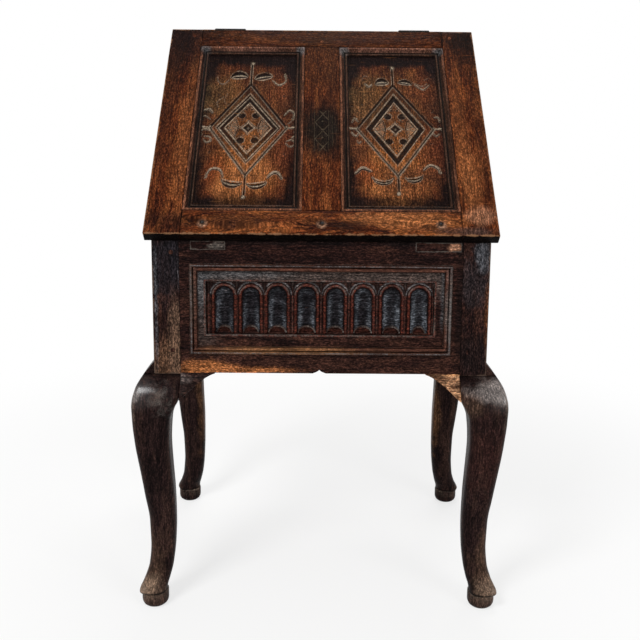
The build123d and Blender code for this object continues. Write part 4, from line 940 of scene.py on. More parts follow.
class BIBLEBOX_OT_lid_frame(bpy.types.Operator):
    """Make the stiles, rails and muntin of the lid"""
    bl_idname = "biblebox.lid_frame"
    bl_label = "Lid frame"

    def execute(self, context):
        wear = context.scene.biblebox_wear
        spots = lid_spots()
        # Light colour of the worn arrises on the upper face of the lid: rubbed wood, which also stands in for the
        # highlight along its lower front edge
        rub_and_highlight = (0.27, 0.135, 0.068)
        whole = ((-LID_HALF, 0.0, 0.0), (LID_HALF, LID_LENGTH, LID_THICKNESS))
        edge, nose = wear.arris / MM, wear.nose / MM

        def plumb_end(points, share):
            """Slide points along v so that the far end lies on the plumb end of the lid."""
            end = (LID_END_Y - LID_Y + points[..., 2] * LID_SIN) / LID_COS
            points[..., 1] = share * end
            return points

        long = {"lid": True, "arris": rub_and_highlight, "edges": whole, "swirl": 0.7, "soot": 0.3, "zones": spots, "shine": 0.014}
        for side, sign in (("left", -1), ("right", 1)):
            low, high = sorted((sign * (OPENING_U[1] + 0.1), sign * LID_HALF))
            box = ((low, 0.0, 0.0), (high, LID_LENGTH, LID_THICKNESS))
            material = oak("oak_lid_stile_" + side, shades("lid"), grain="y", seed=11.0 + sign, box=box, **long)
            beam("lid_stile_worn_" + side, box[0], box[1], 1, material, "lid", ["lid_stile_" + side],
                 60 + sign, cut=plumb_end, lid=True)
        box = ((-OPENING_U[1], 0.0, 0.0), (OPENING_U[1], OPENING_V[0] - 0.1, LID_THICKNESS))
        material = oak("oak_lid_bottom_rail", shades("lid"), grain="x", seed=14.0, box=box, pores=0.7, figure=0.95,
                       **dict(long, swirl=1.8))
        beam("lid_bottom_rail_worn", box[0], box[1], 0, material, "lid", ["lid_bottom_rail"], 71,
             lid=True, radii=[edge, nose, edge, edge])
        box = ((-OPENING_U[1], OPENING_V[1], 0.0), (OPENING_U[1], LID_LENGTH, LID_THICKNESS))
        material = oak("oak_lid_top_rail", shades("lid"), grain="x", seed=17.0, box=box, **long)
        eased_copy("lid_top_rail_worn", "lid_top_rail", material, "lid")
        self.muntin(context, spots)
        return {"FINISHED"}

    def muntin(self, context, spots):
        """The muntin as a carved surface, with a cut lattice and punched dots."""
        step = context.scene.biblebox_carving.grid / MM
        half, (bottom, top) = OPENING_U[0], OPENING_V
        u = np.linspace(-half, half, int(2 * half / step) + 1)[None, :]
        v = np.linspace(bottom, MUNTIN_TOP, int((top - bottom) / step) + 1)[:, None]
        p, q = u - 2.0, v - 243.0
        inside = smooth_step(np.minimum(28 - np.abs(p), 52 - np.abs(q)), 0.0, 2.0) * (np.abs(p + 3) < 13)
        lattice = np.zeros(np.broadcast(u, v).shape)
        mesh_size = 42.0
        for slope_sign in (-1, 1):
            wave = (q + slope_sign * 1.4 * p) % mesh_size
            lattice = np.maximum(lattice, gouge(np.minimum(wave, mesh_size - wave), 2.3, 1.0) * inside)
        for row in range(-2, 3):
            lattice = np.maximum(lattice, bowl(p, q, (-1.0, row * mesh_size / 2 + 3), 2.2, 1.0))
        for edge, tall in ((-16.0, 52), (10.5, 52), (17.5, 40)):
            lattice = np.maximum(lattice, gouge(np.abs(p - edge) + 100 * (np.abs(q) > tall), 1.7, 0.4))
        depth = 0.7 * lattice
        border = np.minimum(half - np.abs(u), np.minimum(v - bottom, MUNTIN_TOP - v))
        rounding = 0.9 * (1 - smooth_step(border, 0.0, 1.6)) * (np.abs(u) > half - 2)
        total = depth + rounding + 0.10 * soft_noise(depth.shape, 30.0, 21)
        material = oak("oak_lid_muntin", shades("lid"), grain="y", lid=True, seed=19.0, zones=spots, soot=0.34,
                       box=((-half, bottom, 0.0), (half, top, LID_THICKNESS)), shine=0.014,
                       carved=((0.012, 0.009, 0.008), (0.15, 0.11, 0.07)))
        relief_piece("lid_muntin_cut", lid_points(u, v, LID_THICKNESS - total), lambda points: lid_back(points, 0.0),
                     material, "lid", ["lid_muntin"], -depth,
                     {"hollow": np.zeros(depth.shape), "ridge": np.zeros(depth.shape), "pale": 0.75 * lattice})


# Front board

FRAME_X = 232.0
FRAME_Z = (477.6, 640.6)
ARCADE_X = (-204.5, 201.5)
ARCADE_Z = (512.5, 608.6)
ARCH_ENDS = 200.0
CROWN_Z = 599.6
FOOT_LINE = 515.2
# Depths of the sunk field, of the ground of the arcade, and of the patches, below the face of the board
FIELD = 4.5
GROUND = 7.5
PATCH_DEPTH = 4.9
BOARD_THICKNESS = 26.0
# Lower edge of the board, and the height up to which its notches are felt
EDGE_Z = FOOT_Z + 2.6
NOTCH_BAND_Z = 460.0
# Patches: where each begins and ends across the board, and its lower edge
PATCHES = {"left": ((-229.5, -169.5), 666.3), "right": ((166.0, 246.0), 665.3)}
# Per arch: how far each arch sits off its place, how much larger it is, and the half width of its tongue
HAND = np.array([3.2, 0.4, -2.4, -0.3, 0.6, 0.2, 0.8, 0.3])
GIRTH = np.array([0.6, -0.8, 1.1, 0.8, -0.9, 0.0, 0.4, -1.0])
TONGUES = np.array([14.0, 14.0, 16.4, 16.0, 16.0, 16.6, 16.0, 12.2])


def notch_edge(x):
    """Lower edge of the front board: straight, with an ogee notch made of two curves rising to a point."""
    share = np.clip(1 - np.abs(x + 1.8) / 11.5, 0, 1)
    return EDGE_Z + 6.4 * (0.5 * share ** 0.7 + 0.5 * share ** 3) * (share > 0)


def arch_places(x):
    """For each place across the board: the number of its arch, its distance from that arch's middle and to the
    edge of the arch's bay."""
    count = bpy.context.scene.biblebox_carving.arches
    pitch = 2 * ARCH_ENDS / count
    number = np.clip(np.floor((x + ARCH_ENDS) / pitch), 0, count - 1).astype(int)
    off = x + ARCH_ENDS - (number + 0.5) * pitch - HAND[number % 8]
    return number, off, pitch / 2 - np.abs(x + ARCH_ENDS - (number + 0.5) * pitch)


def arcade_depth(x, z):
    """Depth of the arcade below the face of the board, and the shares of its colours and marks.

    Inside each arch the flute is a quarter of an ellipse of the distance g from its outline; a round bead
    follows the outline, a rimmed half-oval tongue stands at its foot, a reed stands between the arches and
    the spandrels are scooped nicks."""
    carving = bpy.context.scene.biblebox_carving
    number, a, side = arch_places(x)
    half = carving.flute_width / MM / 2 + GIRTH[number % 8] * 0.6
    tall = half + 1.0
    # g: distance inside the arch from its outline, which is straight below the spring and round above
    spring = CROWN_Z - tall + GIRTH[number % 8]
    up = z - spring
    g = half - np.where(up > 0, np.hypot(a, up * half / tall), np.abs(a))
    g = g + 0.2 * (np.sin(z * 0.31 + number * 1.9) + np.sin(z * 0.83 + number))
    share = np.clip(g / half, 0, 1)
    flute = GROUND + carving.flute_depth / MM * np.sqrt(np.clip(1 - (1 - share) ** 2, 0, 1)) - 0.4
    ripple = np.sin(2 * math.pi * (z + 0.02 * a * a + 1.6 * np.sin(number * 1.9 + z * 0.13)) / 4.3)
    ripple = ripple * smooth_step(g, 2.0, 6.0) * (0.6 + 0.4 * np.sin(z * 0.21 + a * 0.2))
    flute = flute + carving.ripple / MM * ripple
    depth = np.where(g > 0, flute, GROUND)
    bead = np.sqrt(np.clip(1 - ((g + 2.3) / 2.9) ** 2, 0, None))
    depth = np.where(g < 0.6, depth - carving.bead_height / MM * bead, depth)
    between = g < -5.2
    reed = np.sqrt(np.clip(1 - (side / 1.5) ** 2, 0, None))
    depth = np.where(between & (up < 4), GROUND + 0.9 - 1.7 * reed, depth)
    spandrel = smooth_step(-g, 5.0, 6.4) * smooth_step(up, 0.0, 5.0)
    scoop = 2.6 * (1 - smooth_step(z, spring + 4, ARCADE_Z[1] - 1)) + 0.5
    leaf = np.sqrt(np.clip(1 - (side / (1.0 + 3.2 * smooth_step(up, 4, 20))) ** 2, 0, None))
    depth += (scoop - 1.7 * leaf) * spandrel
    tongue = np.hypot(a / TONGUES[number % 8], (z - FOOT_LINE) / 13.2)
    rim = GROUND - 0.4 - 1.4 * np.sqrt(np.clip(1 - ((tongue - 0.93) / 0.085) ** 2, 0, None))
    plate = GROUND + 1.0 + 1.9 * smooth_step(FOOT_LINE + 8.5 - z, 0.0, 8.5)
    standing = (tongue < 1.02) & (z > FOOT_LINE)
    depth = np.where(standing, np.where(tongue < 0.86, plate, rim), depth)
    depth = np.where(z < FOOT_LINE, GROUND + 1.4, depth)
    border = np.minimum(np.minimum(x - ARCADE_X[0], ARCADE_X[1] - x), np.minimum(z - ARCADE_Z[0], ARCADE_Z[1] - z))
    depth = np.where(border < 1.0, GROUND + 1.6, depth)
    # Colours: dark flutes under a painted sheen, dirt in the lines, and pale crests, tongue rims and arch shoulders
    # that are painted highlights, stronger on the upper and right-hand sides
    inside = smooth_step(g, 0.6, 2.2) * ~standing * (z > FOOT_LINE)
    low = 1 - smooth_step(z, FOOT_LINE + 8, CROWN_Z - 12)
    # Painted sheen in each flute: a band near its sides, brighter low down, rippled with the gouge marks and dimmer on
    # the right higher up
    sheen = 0.22 + 0.62 * np.exp(-((share - 0.42 + 0.12 * low) / 0.26) ** 2) * (0.45 + 0.75 * low)
    sheen = sheen * (1 + 0.4 * ripple) * (1 - 0.35 * smooth_step(a, -4, 12) * (1 - low))
    line = np.exp(-((g - 0.7) / 0.8) ** 2) + np.exp(-((g + 5.4) / 0.7) ** 2) * (up > -60) + 0.9 * (border < 1.2)
    line = line + 0.8 * spandrel * leaf
    # Crest of each bead: a painted highlight, stronger above the spring and on the right
    crest = np.exp(-((g + 2.7) / 0.8) ** 2) * (0.12 + 0.5 * smooth_step(up, 0, 14)) * (1 + 0.7 * smooth_step(a, 2, 9))
    reed = reed * between
    # Pale tongue rims, stronger on the right, and pale arch shoulders: painted highlights
    pale_rim = (standing & (tongue > 0.88) & (tongue < 1.0)) * (0.15 + 0.85 * smooth_step(a, -3, 8))
    pale_arch = 0.8 * np.exp(-((g + 3.6) / 0.8) ** 2) * (up > 3) * smooth_step(np.abs(a), 6, 13) * ~standing
    return depth, {"well": inside,
                   "bloom": inside * sheen,
                   "rust": bead * (g < 0.6) + 0.7 * reed,
                   "nick": spandrel * (0.18 + 0.9 * np.exp(-((g + 7.4) / 1.3) ** 2) * (1 - leaf)),
                   "line": np.clip(line, 0, 1) * ~standing,
                   "crest": crest * ~standing + 0.25 * reed,
                   "rim": (standing & (tongue > 0.87)) * (0.4 + 0.6 * smooth_step(a, -6, 8)),
                   "plate": (standing & (tongue < 0.86)) * 1.0,
                   "pale": pale_rim + pale_arch}


class BIBLEBOX_OT_front_board(bpy.types.Operator):
    """Carve the front board with its arcade"""
    bl_idname = "biblebox.front_board"
    bl_label = "Front board"

    def execute(self, context):
        carving, colours = context.scene.biblebox_carving, context.scene.biblebox_colours
        step = carving.grid / MM * 1.12
        inner = SIDE_X - POST - 0.1
        cuts_x = sorted([-inner, -FRAME_X, *ARCADE_X, FRAME_X, inner, *PATCHES["left"][0], *PATCHES["right"][0]])
        cuts_z = [EDGE_Z, NOTCH_BAND_Z, FRAME_Z[0], *ARCADE_Z, FRAME_Z[1], PATCHES["right"][1], PATCHES["left"][1],
                  SEAT_Z - 0.1]
        x = spread(cuts_x, step)[None, :]
        z = spread(cuts_z, step)[:, None]
        depth = np.zeros((z.shape[0], x.shape[1]))
        field = (np.abs(x) < FRAME_X) & (z > FRAME_Z[0]) & (z < FRAME_Z[1])
        arcade = (x > ARCADE_X[0]) & (x < ARCADE_X[1]) & (z > ARCADE_Z[0]) & (z < ARCADE_Z[1])
        outside = np.maximum(np.maximum(ARCADE_X[0] - x, x - ARCADE_X[1]), np.maximum(ARCADE_Z[0] - z, z - ARCADE_Z[1]))
        border_bead = np.sqrt(np.clip(1 - ((outside - 2.0) / 1.9) ** 2, 0, None))
        depth = np.where(field, FIELD - 1.3 * border_bead, depth)
        nulled, parts = arcade_depth(x, z)
        parts = {part: values * arcade for part, values in parts.items()}
        parts["rust"] = parts["rust"] + border_bead * field * ~arcade
        depth = np.where(arcade, nulled, depth)
        for (low, high), bottom in PATCHES.values():
            depth = np.where((x > low) & (x < high) & (z > bottom), PATCH_DEPTH, depth)
        rough = 0.12 * soft_noise(depth.shape, 34.0, 31) + 0.07 * soft_noise(depth.shape, 4.0, 32)
        rough = rough * np.where(arcade | field, 1.0, 0.6)
        low_edge = notch_edge(x)
        notched = low_edge + (z - EDGE_Z) / (NOTCH_BAND_Z - EDGE_Z) * (NOTCH_BAND_Z - low_edge)
        height = np.where(z < NOTCH_BAND_Z, notched, z)
        front = np.stack(np.broadcast_arrays(x, BOARD_FRONT_Y + depth + rough, height), axis=-1)

        def back_of(points):
            """The same outline on the back; its upper edge rises with the seat of the lid."""
            back = points.copy()
            back[:, 1] = BOARD_FRONT_Y + BOARD_THICKNESS
            seat = SEAT_Z + (BOARD_THICKNESS + 0.5) * math.tan(LID_ANGLE) - 0.2
            back[:, 2] = np.where(points[:, 2] > SEAT_Z - 0.2, seat, points[:, 2])
            return back

        tones = self.tones(x, z, field & ~arcade, parts, depth.shape)
        # The well tone darkens the flutes; the flute sheen and blue tones are painted sheen; the soot tone holds a
        # painted shadow under the lid
        named = [("dull", colours.dull, 0.9, 0.6), ("blue", (0.068, 0.072, 0.078), 0.65, 0.9),
                 ("well", (0.007, 0.0065, 0.008), 0.97, 0.0), ("bloom", colours.bloom, 1.0, 0.9),
                 ("rust", colours.rust, 0.9, 0.3), ("nick", (0.085, 0.080, 0.082), 0.9, 0.4),
                 ("plate", (0.022, 0.007, 0.005), 0.85, 0.2), ("honey", colours.honey, 0.9, 0.9),
                 ("soot", colours.soot, 0.9, 0.5)]
        material = oak("oak_front_board", shades("case"), grain="x", seed=23.0, soot=0.35, soot_size=12.0,
                       carved=((0.007, 0.005, 0.005), (0.15, 0.125, 0.11)), bump=0.6, pores=0.5, tones=named,
                       shine=0.022, fleck=1.05)
        marks = relief_marks(-depth)
        # Ridges also take the tongue rims and bead crests of the arcade, which are painted highlights
        marks["ridge"] = marks["ridge"] * (1 - arcade) * 0.7 + parts["rim"] + parts["crest"]
        marks["hollow"] = np.maximum(marks["hollow"] * (1 - arcade), parts["line"])
        relief_piece("front_board_carved", front, back_of, material, "carcass", ["front_board"],
                     -depth, dict(marks, **tones))
        return {"FINISHED"}

    def tones(self, x, z, margin, parts, shape):
        """Shares on the board's grid of the colours laid over its timber; the margin is the field round the arcade."""
        cloud = soft_noise(shape, 30.0, 51)
        upper = smooth_step(z, 560, 612) + 0.75 * smooth_step(-x, 150, 205)
        honey = np.exp(-((x + 205) / 45) ** 2 - ((z - 449) / 16) ** 2) * 1.3
        honey = honey + 0.75 * np.exp(-((x + 105) / 75) ** 2 - ((z - 447) / 8) ** 2)
        honey = honey * (z < FRAME_Z[0])
        # Darker from above the frame up to the seat of the lid, and near black in the last few millimetres below the
        # seat: a painted shadow under the lid. Darker also near the right end of the board.
        soot = smooth_step(z, FRAME_Z[1] + 4, SEAT_Z) * 0.5 + smooth_step(x, 232, 244) * 0.6
        soot = soot + 1.2 * smooth_step(z, SEAT_Z - 8, SEAT_Z - 4)
        # Blue-grey on the left and right strips and along the top of the margin: painted sheen
        blue = np.exp(-((x + 212) / 16) ** 2) * smooth_step(z, 500, 600)
        blue = margin * np.maximum(blue, 0.8 * np.exp(-((z - 624) / 14) ** 2) * smooth_step(-x, -60, 190))
        blue = np.maximum(blue, 0.7 * margin * np.exp(-((x - 219) / 7) ** 2) * smooth_step(z, 480, 560))
        kept = {part: parts[part] for part in ("pale", "rust", "nick", "well", "plate")}
        return dict(kept, dull=margin * upper * (0.75 + 0.25 * cloud), blue=blue, honey=honey,
                    bloom=parts["bloom"] * (0.62 + 0.5 * smooth_step(cloud, -0.4, 0.8)),
                    soot=soot * (0.7 + 0.5 * cloud))


class BIBLEBOX_OT_front_mouldings(bpy.types.Operator):
    """Run the planted moulding of the front"""
    bl_idname = "biblebox.front_mouldings"
    bl_label = "Front mouldings"

    def execute(self, context):
        shape = [(0.0, 5.0)] + round_points((2.5, 6.3), 2.4, 168, 8, 9) + [(5.0, 4.4), (5.7, 3.6), (6.3, 3.8)]
        shape += round_points((9.2, 4.3), 2.9, 178, 2, 11) + [(12.3, 2.6), (12.9, 2.2), (13.2, 2.6), (13.5, 2.2)]
        profile = np.array([(0.0, 0.0)] + shape + [(13.5, 0.0)])
        a, b = profile.T
        parts = {"ridge": 1.0 * ((a > 1.4) & (a < 3.4) & (b > 8.2)) + 0.7 * ((a > 13.0) & (b > 2.4)),
                 "hollow": 1.0 * ((a > 4.9) & (a < 6.4) | (a > 12.2) & (a < 13.0)),
                 "band": 1.0 * ((a > 6.6) & (a < 12.0))}
        warm = [((-60, FRONT_Y, FRAME_Z[0] + 5), (190, 40, 14), (0.16, 0.075, 0.032), 0.8, 0.5),
                # The grey spots on the right and left strips are painted sheen
                ((FRAME_X, FRONT_Y, 560), (16, 40, 90), (0.10, 0.09, 0.085), 0.7, 0.6),
                ((-FRAME_X, FRONT_Y, 580), (16, 40, 80), (0.062, 0.048, 0.04), 0.6, 0.6)]
        material = oak("oak_front_moulding", ((0.010, 0.0045, 0.0035), (0.046, 0.018, 0.012), (0.115, 0.052, 0.032)),
                       grain="x", seed=29.0, soot=0.4, soot_size=20.0, zones=warm, fleck=0.6,
                       tones=[("band", (0.078, 0.032, 0.022), 0.7, 0.8)], rough=0.36, shine=0.022,
                       carved=((0.006, 0.0045, 0.004), (0.125, 0.115, 0.115)))
        middle = (FRAME_Z[0] + FRAME_Z[1]) / 2
        strips = frame_strips(profile, 2 * FRAME_X - 0.1, FRAME_Z[1] - FRAME_Z[0] - 0.1, 80)
        for side, strip in zip(("bottom", "right", "top", "left"), strips):
            points = np.stack([strip[..., 0], BOARD_FRONT_Y + FIELD - strip[..., 2], strip[..., 1] + middle], axis=-1)
            put_in("front_moulding_run_" + side, points, tube_faces(*strip.shape[:2]), material, "carcass",
                   ["front_moulding_" + side], edge_marks([strip], **parts), sharp=32.0)
        return {"FINISHED"}


# Posts and boards of the carcass

# A height that no piece reaches, where worn edges shall not show
ABOVE_ALL = 2000.0


def box_of(node):
    """Corners of a node in millimetres."""
    return tuple(tuple(part / MM for part in corner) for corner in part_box(node))


def worn_board(node, timber, slot, ending="_worn", ease=0.9, shortest=24.0, **finish):
    """A board of the carcass or stand: a copy of its node with eased edges, in an oak finish of its own."""
    eased_copy(node + ending, node, oak("oak_" + node, timber, **finish), "carcass", ease, shortest)


class BIBLEBOX_OT_posts(bpy.types.Operator):
    """Make the four corner posts"""
    bl_idname = "biblebox.posts"
    bl_label = "Corner posts"

    def execute(self, context):
        tan = math.tan(LID_ANGLE)

        def seat_end(points, share):
            """Slide points up so that the top lies on the seat of the lid."""
            seat = SEAT_Z + (points[..., 1] - FRONT_Y) * tan
            points[..., 2] = FOOT_Z + share * (seat - FOOT_Z)
            return points

        # Spots on the front posts; the blue-grey strips on the left post and the blue-grey spot near the top of the
        # right post are painted sheen
        spots = {
            ("front", "left"): [((-264, -218, 450), (44, 40, 76), (0.125, 0.066, 0.038), 0.7, 0.6),
                                ((-256, -218, 500), (18, 40, 110), (0.125, 0.075, 0.05), 0.7, 0.6),
                                ((-274, -218, 640), (60, 40, 90), (0.007, 0.007, 0.009), 0.85, 0.6),
                                ((-246, -218, 600), (7, 40, 90), (0.08, 0.072, 0.08), 0.7, 0.8),
                                ((-292, -218, 560), (5, 40, 120), (0.06, 0.062, 0.07), 0.6, 1.0)],
            ("front", "right"): [((274, -218, 480), (60, 40, 60), (0.009, 0.006, 0.006), 0.6, 0.8),
                                 ((274, -218, 610), (60, 40, 70), (0.02, 0.018, 0.02), 0.5, 0.9),
                                 ((285, -218, 655), (17, 40, 42), (0.060, 0.065, 0.075), 0.7, 0.9),
                                 ((296, -218, 560), (8, 30, 70), context.scene.biblebox_colours.honey, 0.25, 0.9)],
        }
        for row, sign_y in (("front", -1), ("back", 1)):
            for side, sign_x in (("left", -1), ("right", 1)):
                x = sorted((sign_x * (SIDE_X - POST), sign_x * SIDE_X))
                y = sorted((sign_y * (BACK_Y - POST), sign_y * BACK_Y))
                name = "post_%s_%s" % (row, side)
                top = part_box(name)[1][2] / MM if row == "back" else SEAT_Z
                box = ((x[0], y[0], FOOT_Z), (x[1], y[1], top if row == "back" else SEAT_Z + 60))
                material = oak("oak_" + name, shades("case"), grain="z", seed=31.0 + 2 * sign_x + sign_y, box=box,
                               edges=((-SIDE_X, FRONT_Y, FOOT_Z), (SIDE_X, BACK_Y, ABOVE_ALL)),
                               arris=(0.12, 0.08, 0.06), zones=spots.get((row, side), ()), soot=0.42, soot_size=8.0,
                               rough=0.35, bump=0.6, fleck=1.2)
                beam(name + "_worn", (x[0], y[0], FOOT_Z), (x[1], y[1], top), 2, material, "carcass", [name],
                     90 + 5 * sign_x + sign_y, cut=seat_end if row == "front" else None)
        return {"FINISHED"}


class BIBLEBOX_OT_case_boards(bpy.types.Operator):
    """Ease the edges of rails, panels, floor, top board and patches"""
    bl_idname = "biblebox.case_boards"
    bl_label = "Carcass boards"

    def execute(self, context):
        patch_spots = {"left": [((-186, -218, 673), (15, 40, 7), (0.15, 0.13, 0.115), 0.6, 1.0)],
                       "right": [((235, -218, 673), (15, 40, 11), (0.26, 0.13, 0.08), 0.9, 0.6)]}
        case, inside = shades("case"), shades("lid")
        for number, side in enumerate(("left", "right")):
            for rail in ("bottom", "middle", "slope"):
                node = "side_%s_rail_%s" % (rail, side)
                worn_board(node, case, "oak_carcass", grain="y", seed=41.0 + number + len(rail), soot=0.4,
                           box=box_of(node), arris=(0.11, 0.07, 0.05))
            for panel in ("lower", "upper"):
                worn_board("side_%s_panel_%s" % (panel, side), case, "oak_carcass", grain="y",
                           seed=51.0 + number + len(panel), soot=0.35)
            worn_board("back_panel_" + side, case, "oak_back", grain="z", seed=57.0 + number, soot=0.2, rough=0.5)
            node = "front_patch_" + side
            worn_board(node, case, "oak_patch", "_set", 0.3, 10.0, grain="x", seed=61.0 + 3 * number, soot=0.3,
                       box=box_of(node), arris=(0.12, 0.1, 0.085), reach=0.002, zones=patch_spots[side])
            worn_board("bearer_" + side, inside, "oak_inside", grain="y", seed=63.0 + number, rough=0.6)
        for node, grain in (("back_bottom_rail", "x"), ("back_top_rail", "x"), ("back_muntin", "z")):
            worn_board(node, case, "oak_back", grain=grain, seed=67.0 + len(node), soot=0.25, rough=0.5)
        for number in (1, 2, 3):
            worn_board("floor_board_%d" % number, inside, "oak_inside", grain="x", seed=71.0 + number, rough=0.6)
        worn_board("top_board", inside, "oak_carcass", ease=1.4, grain="x", seed=77.0, box=box_of("top_board"),
                   arris=(0.2, 0.11, 0.06), soot=0.55, soot_size=7.0)
        return {"FINISHED"}


# Legs

LEG_TOP = 440.0
KNEE_Z, ANKLE_Z, SOLE_Z = 380, 60, 27.5
LEG_STATIONS = np.array([
    # height, inner reach, side reach, front reach, corner radius
    (LEG_TOP, 48.0, 18.5, 0.3, 1.5), (432.0, 48.0, 24.0, 13.5, 4.0), (422.0, 48.0, 29.5, 24.5, 7.0),
    (410.0, 48.0, 33.5, 31.8, 10.0), (398.0, 46.0, 36.2, 35.5, 13.0), (384.0, 38.5, 37.4, 37.0, 15.0),
    (362.0, 30.5, 37.0, 37.0, 17.0), (320.0, 28.0, 34.0, 34.0, 18.0), (270.0, 30.0, 28.2, 28.2, 18.5),
    (210.0, 33.2, 20.4, 20.4, 19.0), (160.0, 34.0, 14.2, 14.2, 19.5), (115.0, 32.4, 13.2, 13.2, 20.0),
    (76.0, 28.2, 16.4, 16.4, 20.5), (52.0, 22.8, 23.2, 23.2, 21.5), (39.5, 19.0, 29.0, 29.0, 22.5),
    (31.0, 17.6, 32.4, 32.4, 23.5), (SOLE_Z, 17.6, 30.5, 30.5, 22.0)])
# The pad under a leg: distance from its axis, height, and how far it is rubbed and dirty there
PAD = np.array([
    (0.01, 30.0, 0, 1), (21.0, 30.0, 0, 1), (23.2, 29.4, 0.6, 0.2), (24.3, 28.0, 0.8, 0), (24.5, 26.0, 0.3, 0),
    (24.5, 12.0, 0, 0), (23.9, 8.0, 0, 0), (22.0, 4.0, 0, 0), (19.0, 1.4, 0, 0.3), (15.5, 0.0, 0, 0.6),
    (0.01, 0.0, 0, 0.6)])
PAD_SIDES = 56


def through(stations, heights):
    """Smooth curve through stations: cubic pieces whose slopes are the harmonic mean of the slopes on either side,
    and level at a turning point."""
    knots, values = stations[::-1, 0], stations[::-1, 1:]
    slope = np.diff(values, axis=0) / np.diff(knots)[:, None]
    tangent = np.vstack([slope[:1], np.where(slope[1:] * slope[:-1] > 0, 2 * slope[1:] * slope[:-1]
                                             / (slope[1:] + slope[:-1] + 1e-12), 0.0), slope[-1:]])
    piece = np.clip(np.searchsorted(knots, heights) - 1, 0, len(knots) - 2)
    width = np.diff(knots)[piece]
    t = ((heights - knots[piece]) / width)[:, None]
    first, second = values[piece], values[piece + 1]
    width = width[:, None]
    return ((2 * t ** 3 - 3 * t ** 2 + 1) * first + (t ** 3 - 2 * t ** 2 + t) * width * tangent[piece]
            + (3 * t ** 2 - 2 * t ** 3) * second + (t ** 3 - t ** 2) * width * tangent[piece + 1])


def leg_surface(sign_x, sign_y, seed):
    """A cabriole leg: rounded rectangles whose reaches follow smooth curves of the height.

    The corner towards the room is drawn out along its diagonal at the toe and a little at the knee, each by a
    bell of the height, and every section strays a little."""
    heights = np.concatenate([np.linspace(LEG_TOP, KNEE_Z, 50), np.linspace(KNEE_Z - 1, ANKLE_Z, 90)[1:],
                              np.linspace(ANKLE_Z - 2, SOLE_Z, 40)])
    inner, side, front, radius = through(LEG_STATIONS, heights).T
    turn = np.linspace(0, math.pi / 2, 12)
    toe = 4.6 * np.exp(-((heights - 34.0) / 7.0) ** 2) + 1.5 * np.exp(-((heights - 396.0) / 22.0) ** 2)
    corners = []
    for corner, (away_x, away_y) in enumerate(CORNERS):
        reach_x = side if away_x > 0 else -inner
        reach_y = front if away_y > 0 else -inner
        angle = turn[None, :] + corner * math.pi / 2
        x = reach_x[:, None] + radius[:, None] * (np.cos(angle) - away_x)
        y = reach_y[:, None] + radius[:, None] * (np.sin(angle) - away_y)
        if corner == 0:
            point = 0.707 * np.exp(-((turn - math.pi / 4) / 0.42) ** 2)[None, :] * toe[:, None]
            x, y = x + point, y + point
        corners.append(np.stack([x, y], axis=-1))
    loop = np.concatenate(corners, axis=1)
    sway = soft_noise(loop.shape[:2], 7.0, seed) * 0.35 * smooth_step(LEG_TOP - heights, 4.0, 30.0)[:, None]
    centre = loop.mean(axis=1, keepdims=True)
    away = loop - centre
    loop = loop + away / np.linalg.norm(away, axis=-1, keepdims=True) * sway[..., None]
    points = np.empty(loop.shape[:2] + (3,))
    points[..., 0] = sign_x * (SIDE_X + loop[..., 0])
    points[..., 1] = sign_y * (BACK_Y + loop[..., 1])
    points[..., 2] = heights[:, None]
    return points


def pad_surface(sign_x, sign_y):
    """The pad under the toe: a round profile turned about its own axis, closed at its middle."""
    angle = np.linspace(0, 2 * math.pi, PAD_SIDES, endpoint=False)
    return np.stack(np.broadcast_arrays(sign_x * (SIDE_X + 5.0) + PAD[:, :1] * np.cos(angle),
                                        sign_y * (BACK_Y + 5.0) + PAD[:, :1] * np.sin(angle), PAD[:, 1:2]), axis=-1)


